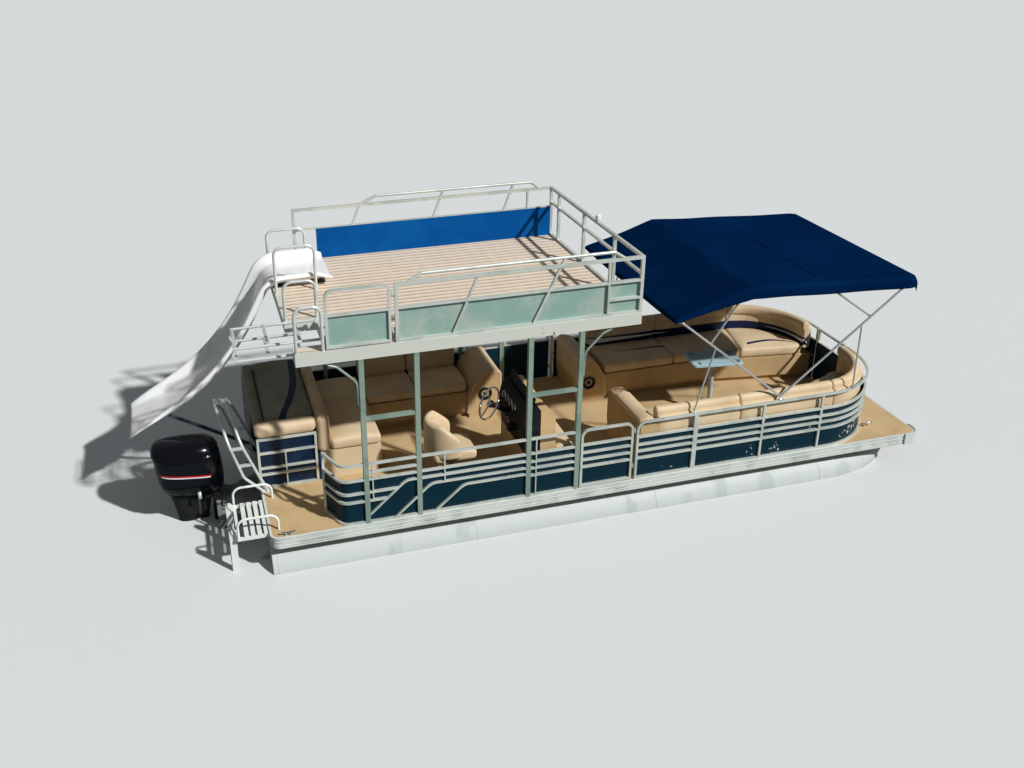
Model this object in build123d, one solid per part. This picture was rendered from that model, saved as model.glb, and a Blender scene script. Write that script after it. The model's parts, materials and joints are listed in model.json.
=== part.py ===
from build123d import *
import os

# A double-deck pontoon boat: two round floats under a flat deck with rail fences,
# an upper sun deck on eight uprights, a slide, a folding sun top and an outboard engine.
# Everything is drawn in millimetres from the stern edge of the lower deck (x = 0, bow +x),
# the centreline (y = 0, port +y) and the deck surface (z = 0), then carried so that the
# origin is on the water amidships.

# Driving dimensions
DECK_LENGTH = 7500.0
BEAM = 2590.0
DECK_ABOVE_WATER = 450.0
DECK_THICK = 28.0
TRIM_DEPTH = 125.0
TRIM_WIDTH = 25.0

FLOAT_RADIUS = 317.0
FLOAT_SPACING = 950.0
FLOAT_AXIS = -507.0
NOSE_START = 6290.0
CROSS_DEPTH = 100.0
CROSS_PITCH = 403.0
CROSS_COUNT = 18

RAIL = 25.0
RAIL_LINE = 1272.0
RAIL_TOP = 700.0
PANEL_TOP = 515.0
PANEL_THICK = 6.0
BOW_BARS = (525.0, 430.0, 350.0, 265.0)
BOW_FRONT = 7130.0
BOW_CORNER = 870.0
BOW_FENCE_AFT = 3910.0

POST = 50.0
POST_LINE = 1262.0
POST_STATIONS = (985.0, 1525.0, 2685.0, 3224.0)
UPPER_FLOOR = 1962.0
UPPER_DEPTH = 125.0
UPPER_AFT = 374.0
UPPER_FORE = 3852.0
UPPER_HALF = 1286.0
UPPER_BEAM = 40.0
UPPER_TUBE = 32.0
UPPER_RAIL = 2565.0
UPPER_MID = 2325.0
LADDER_NOTCH = (690.0, -1115.0, -485.0)

SIDE_GATE = (3265.0, 3860.0)
BOW_GATE = (-258.0, 265.0)
UPPER_GATE = (672.0, 1292.0)

WHEEL_CENTRE = (2455.0, -650.0, 820.0)
CHAIR_X, CHAIR_Y = 1980.0, -770.0

TRANSOM_AFT = -470.0
TRANSOM_TOP = -190.0
TILT_X, TILT_Z = -440.0, -120.0
STEER_X = -600.0
PROP_Z = -880.0

SUN_X, SUN_Z = 5610.0, 730.0
SUN_TUBE = 25.0


# Shape helpers
def block(x0, x1, y0, y1, z0, z1):
    """A box between two corners."""
    centre = Pos((x0 + x1) / 2, (y0 + y1) / 2, (z0 + z1) / 2)
    return centre * Box(x1 - x0, y1 - y0, z1 - z0)


def rod(start, end, diameter):
    """A round bar between two points."""
    run = Vector(*end) - Vector(*start)
    return extrude(Plane(origin=start, z_dir=run) * Circle(diameter / 2), run.length)


def bar(start, end, across, deep):
    """A rectangular bar between two points; across is the size level with the water."""
    run = Vector(*end) - Vector(*start)
    side = Vector(0, 0, 1).cross(run)
    if side.length < 1:
        side = Vector(0, 1, 0)
    return extrude(Plane(origin=start, x_dir=side, z_dir=run) * Rectangle(across, deep), run.length)


def tube(points, radii, diameter):
    """A round tube along straight runs joined by arcs."""
    path = FilletPolyline(*points, radius=radii)
    return sweep(Plane(origin=path @ 0, z_dir=path % 0) * Circle(diameter / 2), path=path)


def hoop_bar(points, radii, y, across, deep):
    """A square tube bent in an upright plane at y; the points are x and z."""
    path = FilletPolyline(*[(x, y, z) for x, z in points], radius=radii)
    start = Plane(origin=path @ 0, x_dir=(0, 1, 0), z_dir=path % 0)
    return sweep(start * Rectangle(across, deep), path=path)


def outline(points, radii=None):
    """A closed outline with straight sides, its corners rounded where radii are given."""
    if radii:
        return make_face(FilletPolyline(*points, radius=radii, close=True))
    return make_face(Polyline(*points, close=True))


def side_plate(points, y0, y1, radii=None):
    """A plate with an outline in x and z, from y0 to y1."""
    plane = Plane((0, y1, 0), x_dir=(1, 0, 0), z_dir=(0, -1, 0))
    return extrude(plane * outline(points, radii), y1 - y0)


def plan_plate(face, z0, z1):
    """A plate with an outline in x and y, from z0 to z1."""
    return extrude(Pos(0, 0, z0) * face, z1 - z0)


def plan_ring(face, out, inside, z0, z1, keep):
    """A rail or wall along the edge of a plan outline, between two offsets of it."""
    wide = offset(face, amount=out, kind=Kind.INTERSECTION)
    narrow = offset(face, amount=inside, kind=Kind.INTERSECTION)
    return plan_plate(wide - narrow, z0, z1) & keep


def port(shape):
    """The same shape on the other side of the boat."""
    return mirror(shape, about=Plane.XZ)


def join(shapes):
    """All the shapes as one."""
    shapes = list(shapes)
    return shapes[0].fuse(*shapes[1:]) if len(shapes) > 1 else shapes[0]


def both(shape):
    """A shape on the starboard side together with its mirror image."""
    return join([shape, port(shape)])


def leaf(x, y, step, z0, z1):
    """A hinge leaf from a pin to what is one step away along x or y."""
    dx, dy = step
    if dx:
        return block(min(x, x + dx), max(x, x + dx), y - 3, y + 3, z0, z1)
    return block(x - 3, x + 3, min(y, y + dy), max(y, y + dy), z0, z1)


def pin_hinges(x, y, heights, to_post, to_gate):
    """Hinges on an upright pin, as the post's solids and the gate's solids."""
    fixed, moving = [], []
    for z in heights:
        fixed += [Pos(x, y, z) * Cylinder(5, 60), Pos(x, y, z - 21) * Cylinder(9, 18)]
        fixed.append(leaf(x, y, to_post, z - 30, z - 12))
        eye = Pos(x, y, z) * Cylinder(9, 20) + leaf(x, y, to_gate, z - 10, z + 10)
        moving.append(eye - Pos(x, y, z) * Cylinder(5.1, 60))
    return fixed, moving


# Hull
def float_tube():
    """One float: a round tube with a seam, a drawn-up nose, a keel and a stern gusset."""
    y = -FLOAT_SPACING
    barrel = rod((0, y, FLOAT_AXIS), (NOSE_START, y, FLOAT_AXIS), 2 * FLOAT_RADIUS)
    seam = rod((NOSE_START - 12, y, FLOAT_AXIS), (NOSE_START, y, FLOAT_AXIS), 2 * FLOAT_RADIUS + 8)
    sections = (  # x, height of the centre, radius
        (NOSE_START, FLOAT_AXIS, FLOAT_RADIUS),
        (6640, -492, 288),
        (7000, -420, 192),
        (7300, -300, 34),
    )
    nose = loft([Plane(origin=(x, y, z), z_dir=(1, 0, 0)) * Circle(r) for x, z, r in sections])
    keel_foot = FLOAT_AXIS - FLOAT_RADIUS - 38
    keel = block(400, 6000, y - 8, y + 8, keel_foot, keel_foot + 60)
    gusset = side_plate([(5, -330), (5, -470), (-120, -470)], y - 4, y + 4)
    return join([barrel, seam, nose, keel, gusset])


def deck_frame(floats):
    """The channel cross members, each on a short foot with two webs over each float."""
    top = -DECK_THICK
    foot = top - CROSS_DEPTH
    channel = [(0, top), (38, top), (38, top - 6), (6, top - 6), (6, foot + 6), (38, foot + 6),
               (38, foot), (0, foot)]
    half = BEAM / 2 - TRIM_WIDTH
    members = []
    for k in range(CROSS_COUNT):
        x = 96 + k * CROSS_PITCH
        parts = [side_plate([(x + dx, z) for dx, z in channel], -half, half)]
        for y in (-FLOAT_SPACING, FLOAT_SPACING):
            parts.append(block(x - 40, x + 78, y - 80, y + 80, foot - 6, foot))
            for web in (-80, 74):
                parts.append(block(x - 40, x + 78, y + web, y + web + 6, foot - 132, foot))
        members.append(join(parts) - floats[0] - floats[1])
    return join(members)


def motor_pod():
    """The buoyant pod between the floats, its transom board and the knees that brace it."""
    low = -640.0
    hull = side_plate([(TRANSOM_AFT, -370), (1300, -370), (1300, -430), (640, low), (-400, low),
                       (TRANSOM_AFT, low + 50)], -300, 300)
    tower = block(30, 1300, -300, 300, -370, -DECK_THICK - CROSS_DEPTH)
    transom = block(TRANSOM_AFT, TRANSOM_AFT + 45, -300, 300, -380, TRANSOM_TOP)
    brace = [(TRANSOM_AFT + 10, -380), (TRANSOM_AFT + 10, TRANSOM_TOP - 40), (-300, -290),
             (40, -160), (40, -380)]
    knees = [side_plate(brace, y, y + 8) for y in (-300, 292)]
    skeg = side_plate([(-200, low + 5), (500, low + 5), (440, low - 40), (-120, low - 40)], -6, 6)
    return join([hull, tower, transom, skeg] + knees)


def lower_deck():
    """The floor sheet inside the edge trim."""
    sheet = RectangleRounded(DECK_LENGTH - 2 * TRIM_WIDTH, BEAM - 2 * TRIM_WIDTH, 70)
    return plan_plate(Pos(DECK_LENGTH / 2, 0) * sheet, -DECK_THICK, 0)


def edge_trim():
    """The ribbed extrusion round the deck's edge, with moulded corner caps at the bow."""
    centre = Pos(DECK_LENGTH / 2, 0)
    outer = centre * RectangleRounded(DECK_LENGTH, BEAM, 95)
    inner = centre * RectangleRounded(DECK_LENGTH - 2 * TRIM_WIDTH, BEAM - 2 * TRIM_WIDTH, 70)
    shallow = centre * RectangleRounded(DECK_LENGTH - 12, BEAM - 12, 89)
    ring = plan_plate(outer - inner, -TRIM_DEPTH, 0)
    for z in (-38.0, -78.0):
        ring -= plan_plate(outer - shallow, z - 7, z + 7)
    bumper = centre * RectangleRounded(DECK_LENGTH + 36, BEAM + 36, 110)
    caps = plan_plate(bumper - shallow, -TRIM_DEPTH - 6, 8)
    corner = block(DECK_LENGTH - 190, DECK_LENGTH + 60, -BEAM, -BEAM / 2 + 190, -200, 60)
    return ring + (caps & both(corner))


# Lower fences, drawn on the starboard side
def level_bars(x0, x1, tops):
    """Straight level bars on the fence line."""
    half = RAIL / 2
    return [block(x0, x1, -RAIL_LINE - half, -RAIL_LINE + half, z - RAIL, z) for z in tops]


def fence_post(x, wide=RAIL, low=0.0, top=RAIL_TOP):
    """An upright post on the fence line."""
    half = RAIL / 2
    return block(x - wide / 2, x + wide / 2, -RAIL_LINE - half, -RAIL_LINE + half, low, top)


def stern_corner_plan():
    """The plan line of the fence's curved stern corner, closed across the boat."""
    return outline([(1500, 0), (1500, -RAIL_LINE), (735, -RAIL_LINE), (604, -950), (604, 0)],
                   [0, 0, 110, 0, 0])


def bow_plan():
    """The plan line of the bow fence, closed across the boat."""
    return outline([(BOW_FENCE_AFT, 0), (BOW_FENCE_AFT, -RAIL_LINE), (BOW_FRONT, -RAIL_LINE),
                    (BOW_FRONT, 0)], [0, 0, BOW_CORNER, 0])


STERN_KEEP = block(500, 960, -1400, -938, -50, 900)
BOW_KEEP = join([block(3935, 6400, -1400, -1220, -50, 900), block(6400, 7300, -1400, -283, -50, 900)])


def aft_fence(curved):
    """The fence from the stern to the side gate, with its swept decorative bars.
    Where curved it starts at the stern passage, and otherwise it runs on to the stern."""
    half = RAIL / 2
    stern_bars = (RAIL_TOP, 525.0, 373.0, 275.0, RAIL)
    if curved:
        corner = stern_corner_plan()
        parts = [plan_ring(corner, half, -half, z - RAIL, z, STERN_KEEP) for z in stern_bars]
        parts.append(block(604 - half, 604 + half, -950 - half, -950 + half, 0, RAIL_TOP))
    else:
        parts = level_bars(0, 960, stern_bars) + [fence_post(x) for x in (half, 330, 650)]
    bays = (  # aft end, fore end, tops of the full-width bars
        (1010, 1500, (RAIL_TOP, 605, 525, RAIL)),
        (1550, 2660, (RAIL_TOP, 525, 445, RAIL)),
        (2710, 3199, (RAIL_TOP, 527, 430, 351, 266, RAIL)),
    )
    for x0, x1, tops in bays:
        parts += level_bars(x0, x1, tops)
    parts += level_bars(1010, 1310, (373,)) + level_bars(1010, 1190, (275,))
    sweeps = (  # foot x and z, x of the bend, level height, x of the fore end
        (1012, 100, 1385, 434, 1500),
        (1272, 20, 1645, 350, 2660),
        (1690, 20, 1990, 275, 2660),
    )
    for foot_x, foot_z, bend_x, level, end in sweeps:
        run = [(foot_x, foot_z), (bend_x, level), (end, level)]
        parts.append(hoop_bar(run, [150], -RAIL_LINE, RAIL, 20) - join(
            [block(x - POST / 2, x + POST / 2, -1300, -1200, 0, 700) for x in POST_STATIONS[:2]]))
    for x, low in ((1048, 262), (1789, 350), (2770, 10)):
        parts.append(fence_post(x, wide=12, low=low))
    return join(parts)


def bow_fence():
    """The fence from the side gate round the bow to the bow gate."""
    half = RAIL / 2
    plan = bow_plan()
    end_hoop = [(BOW_FENCE_AFT, 0), (BOW_FENCE_AFT, RAIL_TOP - half), (4100, RAIL_TOP - half)]
    parts = [hoop_bar(end_hoop, [90], -RAIL_LINE, RAIL, RAIL)]
    parts += [plan_ring(plan, half, -half, z - RAIL, z, BOW_KEEP) for z in BOW_BARS + (RAIL,)]
    past_hoop = block(4100, 7300, -1400, 0, 0, 900)
    parts.append(plan_ring(plan, half, -half, RAIL_TOP - RAIL, RAIL_TOP, BOW_KEEP & past_hoop))
    parts += level_bars(BOW_FENCE_AFT, 3940, BOW_BARS + (RAIL,))
    parts += [fence_post(4590, wide=POST), fence_post(5410), fence_post(6140)]
    parts.append(block(BOW_FRONT - half, BOW_FRONT + half, -283 - RAIL, -283, 0, RAIL_TOP))
    return join(parts)


def fence_panels(curved):
    """The sheet panels on the inboard face of one side's fences."""
    near, far = -RAIL / 2, -RAIL / 2 - PANEL_THICK
    inner = -RAIL_LINE - near
    if curved:
        corner = plan_ring(stern_corner_plan(), near, far, 4, PANEL_TOP, STERN_KEEP)
        parts = [corner - block(590, 618, -970, -900, 0, 800)]
    else:
        parts = [block(0, 960, inner, inner + PANEL_THICK, 4, PANEL_TOP)]
    for aft, fore in ((1010, 1500), (1550, 2660), (2710, 3199)):
        parts.append(block(aft, fore, inner, inner + PANEL_THICK, 4, PANEL_TOP))
    parts.append(plan_ring(bow_plan(), near, far, 4, PANEL_TOP, BOW_KEEP))
    return join(parts)


def side_gate():
    """The gate beside the helm: its frame with the gate halves of its hinges."""
    aft, fore = SIDE_GATE
    half = RAIL / 2
    low, high = 14.0, RAIL_TOP + 6 - half
    frame = hoop_bar([(aft + half, low), (aft + half, high), (fore - half, high), (fore - half, low)],
                     [80, 80], -RAIL_LINE, RAIL, RAIL)
    bars = level_bars(aft + half, fore - half, (531, 438, 351, 266, low + RAIL))
    fixed, moving = pin_hinges(fore + 18, -1265, (170, 600), (BOW_FENCE_AFT - half - fore - 18, 0),
                               (-18, 0))
    return join([frame] + bars + moving), join(fixed)


def side_gate_panel():
    """The sheet on the inboard face of the side gate."""
    inner = -RAIL_LINE + RAIL / 2
    return block(SIDE_GATE[0], SIDE_GATE[1], inner, inner + PANEL_THICK, 16, 525)


def bow_gate():
    """The gate in the middle of the bow fence with the gate halves of its hinges."""
    half = RAIL / 2
    y0, y1 = BOW_GATE
    low = 14.0
    parts = [block(BOW_FRONT - half, BOW_FRONT + half, y, y + RAIL, low, RAIL_TOP) for y in (y0, y1 - RAIL)]
    for z in (RAIL_TOP,) + BOW_BARS + (low + RAIL,):
        parts.append(block(BOW_FRONT - half, BOW_FRONT + half, y0, y1, z - RAIL, z))
    fixed, moving = pin_hinges(BOW_FRONT - 10, y0 - 12.5, (170, 600), (0, -12.5), (0, 12.5))
    return join(parts + moving), join(fixed)


def bow_gate_panel():
    """The sheet on the inboard face of the bow gate."""
    inner = BOW_FRONT - RAIL / 2
    return block(inner - PANEL_THICK, inner, BOW_GATE[0], BOW_GATE[1], 16, 517)


# Upper deck
def uprights():
    """The eight posts of the upper deck with their rungs and curved end braces."""
    under = UPPER_FLOOR - UPPER_DEPTH
    half = POST / 2
    parts = [block(x - half, x + half, -POST_LINE - half, -POST_LINE + half, 0, under)
             for x in POST_STATIONS]
    p1, p2, p3, p4 = POST_STATIONS
    for aft, fore in ((p1, p2), (p3, p4)):
        parts.append(block(aft, fore, -POST_LINE - 19, -POST_LINE + 19, 1170, 1208))
    for base, way in ((p1, -1), (p4, 1)):
        face = base + way * (half + 10)
        route = [(base + way * 330, -POST_LINE, under), (base + way * 300, -POST_LINE, under - 32),
                 (base + way * 228, -POST_LINE, under - 58), (face + way * 5, -POST_LINE, 1590),
                 (face, -POST_LINE, 1340)]
        parts.append(tube(route, [20, 60, 140], 25))
        parts.append(block(min(face - way * 12, face), max(face - way * 12, face), -POST_LINE - 8,
                           -POST_LINE + 8, 1345, 1375))
        pad = base + way * 330
        parts.append(block(pad - 26, pad + 26, -POST_LINE - 16, -POST_LINE + 16, under - 6, under))
    return both(join(parts) & block(0, 5000, -1400, -1000, 0, under))


def upper_frame():
    """The perimeter beam and joists of the upper deck, notched for the stern ladder."""
    low = UPPER_FLOOR - UPPER_DEPTH
    notch_x, notch_y0, notch_y1 = LADDER_NOTCH
    mid = (UPPER_AFT + UPPER_FORE) / 2
    length = UPPER_FORE - UPPER_AFT
    outer = Pos(mid, 0) * Rectangle(length, 2 * UPPER_HALF)
    inner = Pos(mid, 0) * Rectangle(length - 2 * UPPER_BEAM, 2 * (UPPER_HALF - UPPER_BEAM))
    cut = block(0, notch_x, notch_y0, notch_y1, low - 50, UPPER_FLOOR + 50)
    lined = block(0, notch_x + UPPER_BEAM, notch_y0 - UPPER_BEAM, notch_y1 + UPPER_BEAM, low, UPPER_FLOOR)
    solid = plan_plate(outer, low, UPPER_FLOOR)
    ring = solid - plan_plate(inner, low, UPPER_FLOOR)
    lining = lined & solid
    side = UPPER_HALF - UPPER_BEAM
    joists = [block(x, x + 38, -side, side, low, UPPER_FLOOR - 28) for x in range(780, 3780, 400)]
    return join([ring, lining] + joists) - cut


def upper_floor():
    """The floor sheet of the upper deck, inside the perimeter beam."""
    notch_x, notch_y0, notch_y1 = LADDER_NOTCH
    side = UPPER_HALF - UPPER_BEAM
    sheet = block(UPPER_AFT + UPPER_BEAM, UPPER_FORE - UPPER_BEAM, -side, side, UPPER_FLOOR - 28, UPPER_FLOOR)
    return sheet - block(0, notch_x + UPPER_BEAM, notch_y0 - UPPER_BEAM, notch_y1 + UPPER_BEAM, 0, 3000)


def upper_rails():
    """The rails round the upper deck, each side with a raised round handrail."""
    half = UPPER_TUBE / 2
    line = POST_LINE
    front = UPPER_FORE - UPPER_TUBE

    def level(x0, x1, y, top, deep=UPPER_TUBE):
        return block(x0, x1, y - half, y + half, top - deep, top)

    def post(x, y, top=UPPER_RAIL):
        return block(x - half, x + half, y - half, y + half, UPPER_FLOOR, top)

    foot = UPPER_FLOOR + RAIL
    front_mid = front + half
    parts = []
    sides = (  # y, aft post, handrail points, slanted bars as top x, top z, foot x, foot z
        (-line, 1347, ((1466, 2556), (1590, 2630), (3530, 2630), (3640, 2556)),
         ((2140, 2540, 1892, 1975), (3014, 2620, 2705, 1975))),
        (line, 730, ((1485, 2556), (1690, 2640), (3570, 2640), (3680, 2556)),
         ((1491, 2540, 1401, 2315), (2485, 2630, 2362, 2315), (3347, 2630, 3230, 2315))),
    )
    for y, aft, handrail, slants in sides:
        parts += [post(aft, y), post(front_mid, y)]
        parts += [level(aft, UPPER_FORE, y, UPPER_RAIL), level(aft, UPPER_FORE, y, UPPER_MID, RAIL),
                  level(aft, UPPER_FORE, y, foot, RAIL)]
        parts.append(tube([(x, y, z) for x, z in handrail], [60, 60], 32))
        parts += [bar((x1, y, z1), (x0, y, z0), 20, 25) for x0, z0, x1, z1 in slants]
    parts += [block(3475, 3495, -line - half, -line + half, UPPER_FLOOR, UPPER_RAIL - 20),
              block(3485, front_mid, -line - half, -line + half, 2118, 2143),
              block(3520, 3540, line - half, line + half, UPPER_MID - 10, UPPER_RAIL - 20)]
    for top, deep in ((UPPER_RAIL, UPPER_TUBE), (2385, RAIL), (foot, RAIL)):
        parts.append(block(front, UPPER_FORE, -line, line, top - deep, top))
    parts += [post(front_mid, y) for y in (-590, 235, 1000)]
    return join(parts)


def upper_panel(aft):
    """The sheet on the inboard face of an upper rail, drawn on the starboard side."""
    inner = -POST_LINE + UPPER_TUBE / 2
    return block(aft, UPPER_FORE - UPPER_TUBE, inner, inner + PANEL_THICK, UPPER_FLOOR + 4, 2318)


def upper_gate():
    """The gate at the stern end of the upper starboard rail."""
    aft, fore = UPPER_GATE
    half = RAIL / 2
    low, high = UPPER_FLOOR + 14, UPPER_RAIL - 10
    frame = hoop_bar([(aft + half, low), (aft + half, high), (fore - half, high), (fore - half, low)],
                     [70, 70], -POST_LINE, RAIL, RAIL)
    bars = [block(aft + half, fore - half, -POST_LINE - half, -POST_LINE + half, z - RAIL, z)
            for z in (2322, low + RAIL)]
    fixed, moving = pin_hinges(fore + 18, -POST_LINE + 5, (2090, 2450), (21, 0), (-18, 0))
    return join([frame] + bars + moving), join(fixed)


def upper_gate_panel():
    """The sheet on the inboard face of the upper gate."""
    inner = -POST_LINE + RAIL / 2
    return block(UPPER_GATE[0], UPPER_GATE[1], inner, inner + PANEL_THICK, UPPER_FLOOR + 16, 2318)


def grab_hoops():
    """The four round grab hoops at the stern end of the upper deck."""
    hoops = (  # y, aft leg, fore leg, height of the top
        (-POST_LINE, 392, 640, 2430),
        (-462, 392, 705, 2380),
        (290, 392, 815, 2480),
        (1200, 410, 835, 2375),
    )
    low = UPPER_FLOOR
    return join([tube([(aft, y, low), (aft, y, top - 16), (fore, y, top - 16), (fore, y, low)], [85, 85], 32)
                 for y, aft, fore, top in hoops])


# Slide
SLIDE_Y = (330.0, 1160.0)
SLIDE_ROUTE = ((1000, 2030), (353, 2018), (-190, 993), (-893, 594), (-1290, 440))


def slide():
    """The slide: an open channel with flared walls and rolled lips, swept down a curved path.
    The walls run out towards the lower end."""
    y0, y1 = SLIDE_Y
    half = (y1 - y0) / 2
    path = FilletPolyline(*[(x, (y0 + y1) / 2, z) for x, z in SLIDE_ROUTE], radius=[230, 2600, 400])
    # one side of the section, from the lip's top round its outside to the floor's underside and back
    outside = [(half - 47, 98), (half - 17, 98), (half, 84), (half, 62), (half - 10, 62), (half - 10, 80),
               (half - 21, 88), (half - 41, 88), (half - 59, 54), (half - 87, 4), (half - 109, -12)]
    inside = [(half - 119, 0), (half - 97, 14), (half - 70, 60)]
    section = outline(outside + [(-u, h) for u, h in reversed(outside)]
                      + [(-u, h) for u, h in reversed(inside)] + inside)
    channel = sweep(Plane(origin=path @ 0, x_dir=(0, -1, 0), z_dir=path % 0) * section, path=path)
    return channel - side_plate([(-900, 700), (-900, 900), (-1400, 900), (-1400, 380)], y0 - 60, y1 + 60)


def slide_supports(channel):
    """The feet under the slide's entry and the strut that holds up its lower end."""
    y0, y1 = SLIDE_Y
    parts = []
    for x in (480, 900):
        for y in (y0 + 180, y1 - 180):
            parts.append(block(x - 20, x + 20, y - 20, y + 20, UPPER_FLOOR, 2060))
            parts.append(block(x - 45, x + 45, y - 35, y + 35, UPPER_FLOOR, UPPER_FLOOR + 6))
    y = (y0 + y1) / 2
    parts.append(bar((-4, y, -62), (-1010, y, 545), 32, 32))
    parts.append(block(-8, 0, y - 45, y + 45, -110, -15))
    parts.append(bar((-924, y, 565), (-1114, y, 491), 120, 10))
    trimmed = join(parts) - channel
    over = side_plate(list(SLIDE_ROUTE) + [(-1290, 3000), (1000, 3000)], y0 - 60, y1 + 60)
    return trimmed - over - block(0, 100, y - 60, y + 60, -130, 0)


# Ladders at the stern
UPPER_LADDER_PIVOT = (664.0, 2000.0)
LADDER_FOLD = (-172.0, 1936.0)
LADDER_RUNGS = (-142.0, 158.0, 458.0)


def upper_ladder():
    """The upper half of the folding ladder, lying level as stowed."""
    x0, x1 = LADDER_FOLD[0], UPPER_LADDER_PIVOT[0]
    z = UPPER_LADDER_PIVOT[1]
    link = [(x0 - 9, 1924), (x0 - 9, 1945), (x0 + 14, 1998), (x0 + 34, 1998), (x0 + 9, 1924)]
    parts = []
    for y in (-605, -1075):
        parts.append(rod((x0 + 12, y, z), (x1 - 14, y, z), 28))
        eye = Pos(x1, y, z) * Rot(90, 0, 0) * Cylinder(15, 24)
        parts.append(eye - Pos(x1, y, z) * Rot(90, 0, 0) * Cylinder(7.1, 40))
        parts.append(side_plate(link, y - 5, y + 5))
        parts[-1] -= Pos(x0, y, LADDER_FOLD[1]) * Rot(90, 0, 0) * Cylinder(5.1, 40)
    for x in LADDER_RUNGS:
        parts.append(block(x - 13, x + 13, -1075, -605, z - 12, z + 12))
    return join(parts)


def ladder_extension():
    """The lower half of the folding ladder, folded back under the upper half."""
    x0, x1 = LADDER_FOLD[0], 514.0
    z = 1872.0
    link = [(x0 - 9, 1948), (x0 - 9, 1927), (x0 + 14, 1874), (x0 + 34, 1874), (x0 + 9, 1948)]
    parts = []
    for y in (-605, -1075):
        parts.append(rod((x0 + 12, y, z), (x1, y, z), 28))
        for side in (-13, 8):
            parts.append(side_plate(link, y + side, y + side + 5))
        parts.append(rod((x0, y - 13, LADDER_FOLD[1]), (x0, y + 13, LADDER_FOLD[1]), 10))
    for x in LADDER_RUNGS:
        parts.append(block(x - 13, x + 13, -1075, -605, z - 12, z + 12))
    return join(parts)


def ladder_mounts():
    """The two lugs and pins that carry the upper ladder in its notch."""
    x, z = UPPER_LADDER_PIVOT
    notch_x = LADDER_NOTCH[0]
    parts = []
    for y, way in ((-605, 1), (-1075, -1)):
        near, far = sorted((y + way * 14, y + way * 22))
        parts.append(side_plate([(x - 16, z - 16), (notch_x, z - 60), (notch_x, z - 10), (x + 12, z + 16),
                                 (x - 16, z + 16)], near, far))
        parts.append(rod((x, y - way * 12, z), (x, y + way * 22, z), 14))
    return parts


PLATFORM_AFT = -315.0
PLATFORM_SIDES = (-540.0, -1130.0)
BOARDING_PIVOT = (-355.0, 25.0)


def boarding_platform():
    """The slatted step behind the stern with its two grab hoops and the ladder's lugs."""
    parts = [block(PLATFORM_AFT, 0, y - 13, y + 13, -62, -30) for y in PLATFORM_SIDES]
    y_port, y_star = PLATFORM_SIDES
    parts.append(block(PLATFORM_AFT, PLATFORM_AFT + 30, y_star - 13, y_port + 13, -62, -30))
    parts += [block(x - 22, x + 22, y_star - 13, y_port + 13, -30, -18) for x in (-220, -155, -90, -25)]
    for y in PLATFORM_SIDES:
        route = [(-302, y, -40), (-302, y, 178), (100, y, 178), (100, y, 0)]
        parts.append(tube(route, [90, 90], 25))
    x, z = BOARDING_PIVOT
    for y in (-600, -1070):
        for way in (-1, 1):
            near = y + way * 17
            parts.append(side_plate([(x - 14, z - 14), (PLATFORM_AFT, -62), (PLATFORM_AFT + 30, -62),
                                     (PLATFORM_AFT + 30, -30), (x + 14, z + 14), (x - 14, z + 14)],
                                    near - 4, near + 4))
        parts.append(rod((x, y - 20, z), (x, y + 20, z), 12))
    return join(parts)


def boarding_ladder():
    """The boarding ladder, hanging down into the water from the platform's aft edge."""
    x, z = BOARDING_PIVOT
    parts = []
    for y in (-600, -1070):
        rail = block(x - 34, x + 34, y - 10, y + 10, -900, z - 6)
        eye = Pos(x, y, z) * Rot(90, 0, 0) * Cylinder(20, 20)
        parts.append(join([rail, eye]) - Pos(x, y, z) * Rot(90, 0, 0) * Cylinder(6.1, 60))
    for tread in (-230, -450, -670, -880):
        parts.append(block(x - 30, x + 30, -1070, -600, tread - 12, tread + 12))
    return join(parts)


def tow_arch():
    """The tow bar: two bent tubes from deck to deck, joined by flat steps and a top plate."""
    foot_y, top_y = 400.0, 62.0
    tubes = (  # foot x, bend x, bend z, shoulder x, shoulder z, top x
        (30, -165, 205, -288, 620, -375),
        (75, -20, 230, -165, 610, -255),
    )
    parts = []
    below = 25
    for foot, bend_x, bend_z, shoulder_x, shoulder_z, top_x in tubes:
        start_x = foot + (foot - bend_x) * below / bend_z
        star = [(start_x, -foot_y, -below), (bend_x, -foot_y, bend_z), (shoulder_x, -foot_y, shoulder_z),
                (top_x, -top_y, 925)]
        route = star + [(x, -y, z) for x, y, z in reversed(star)]
        parts.append(tube(route, [140, 260, 70, 70, 260, 140], 32))
    for y in (-foot_y, foot_y):
        for z, aft, fore in ((560, -272, -148), (352, -210, -72)):
            parts.append(block(aft, fore, y - 9, y + 9, z - 16, z + 16))
        for x in (30, 75):
            parts.append(block(x - 30, x + 30, y - 30, y + 30, 0, 6))
    parts.append(block(-375, -255, -45, 45, 918, 930))
    parts.append(rod((-315, 0, 925), (-315, 0, 965), 36))
    return join(parts) - block(-300, 300, -500, 500, -60, 0)


# Sun pad and seats
PAD_X = (0.0, 632.0)
PAD_Y = (-330.0, 1240.0)
WELL_FORE = 370.0
WELL_Y = (-310.0, 450.0)


def sun_pad_rails():
    """The rail frames on the starboard side and the stern face of the sun pad's base."""
    y = PAD_Y[0]
    aft, fore = PAD_X
    parts = [block(x, x + RAIL, y - RAIL, y, 0, 600) for x in (aft, fore - RAIL)]
    parts += [block(aft, fore, y - RAIL, y, z - 22, z) for z in (600, 436, 257, 179, 24)]
    parts.append(block(286, 300, y - RAIL, y, 0, 436))
    stern_y = WELL_Y[1] + 6
    parts += [block(aft - RAIL, aft, s, s + RAIL, 0, 600) for s in (stern_y, PAD_Y[1] - RAIL)]
    parts += [block(aft - RAIL, aft, stern_y, PAD_Y[1], z - 22, z) for z in (600, 436, 257, 24)]
    return join(parts)


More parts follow.
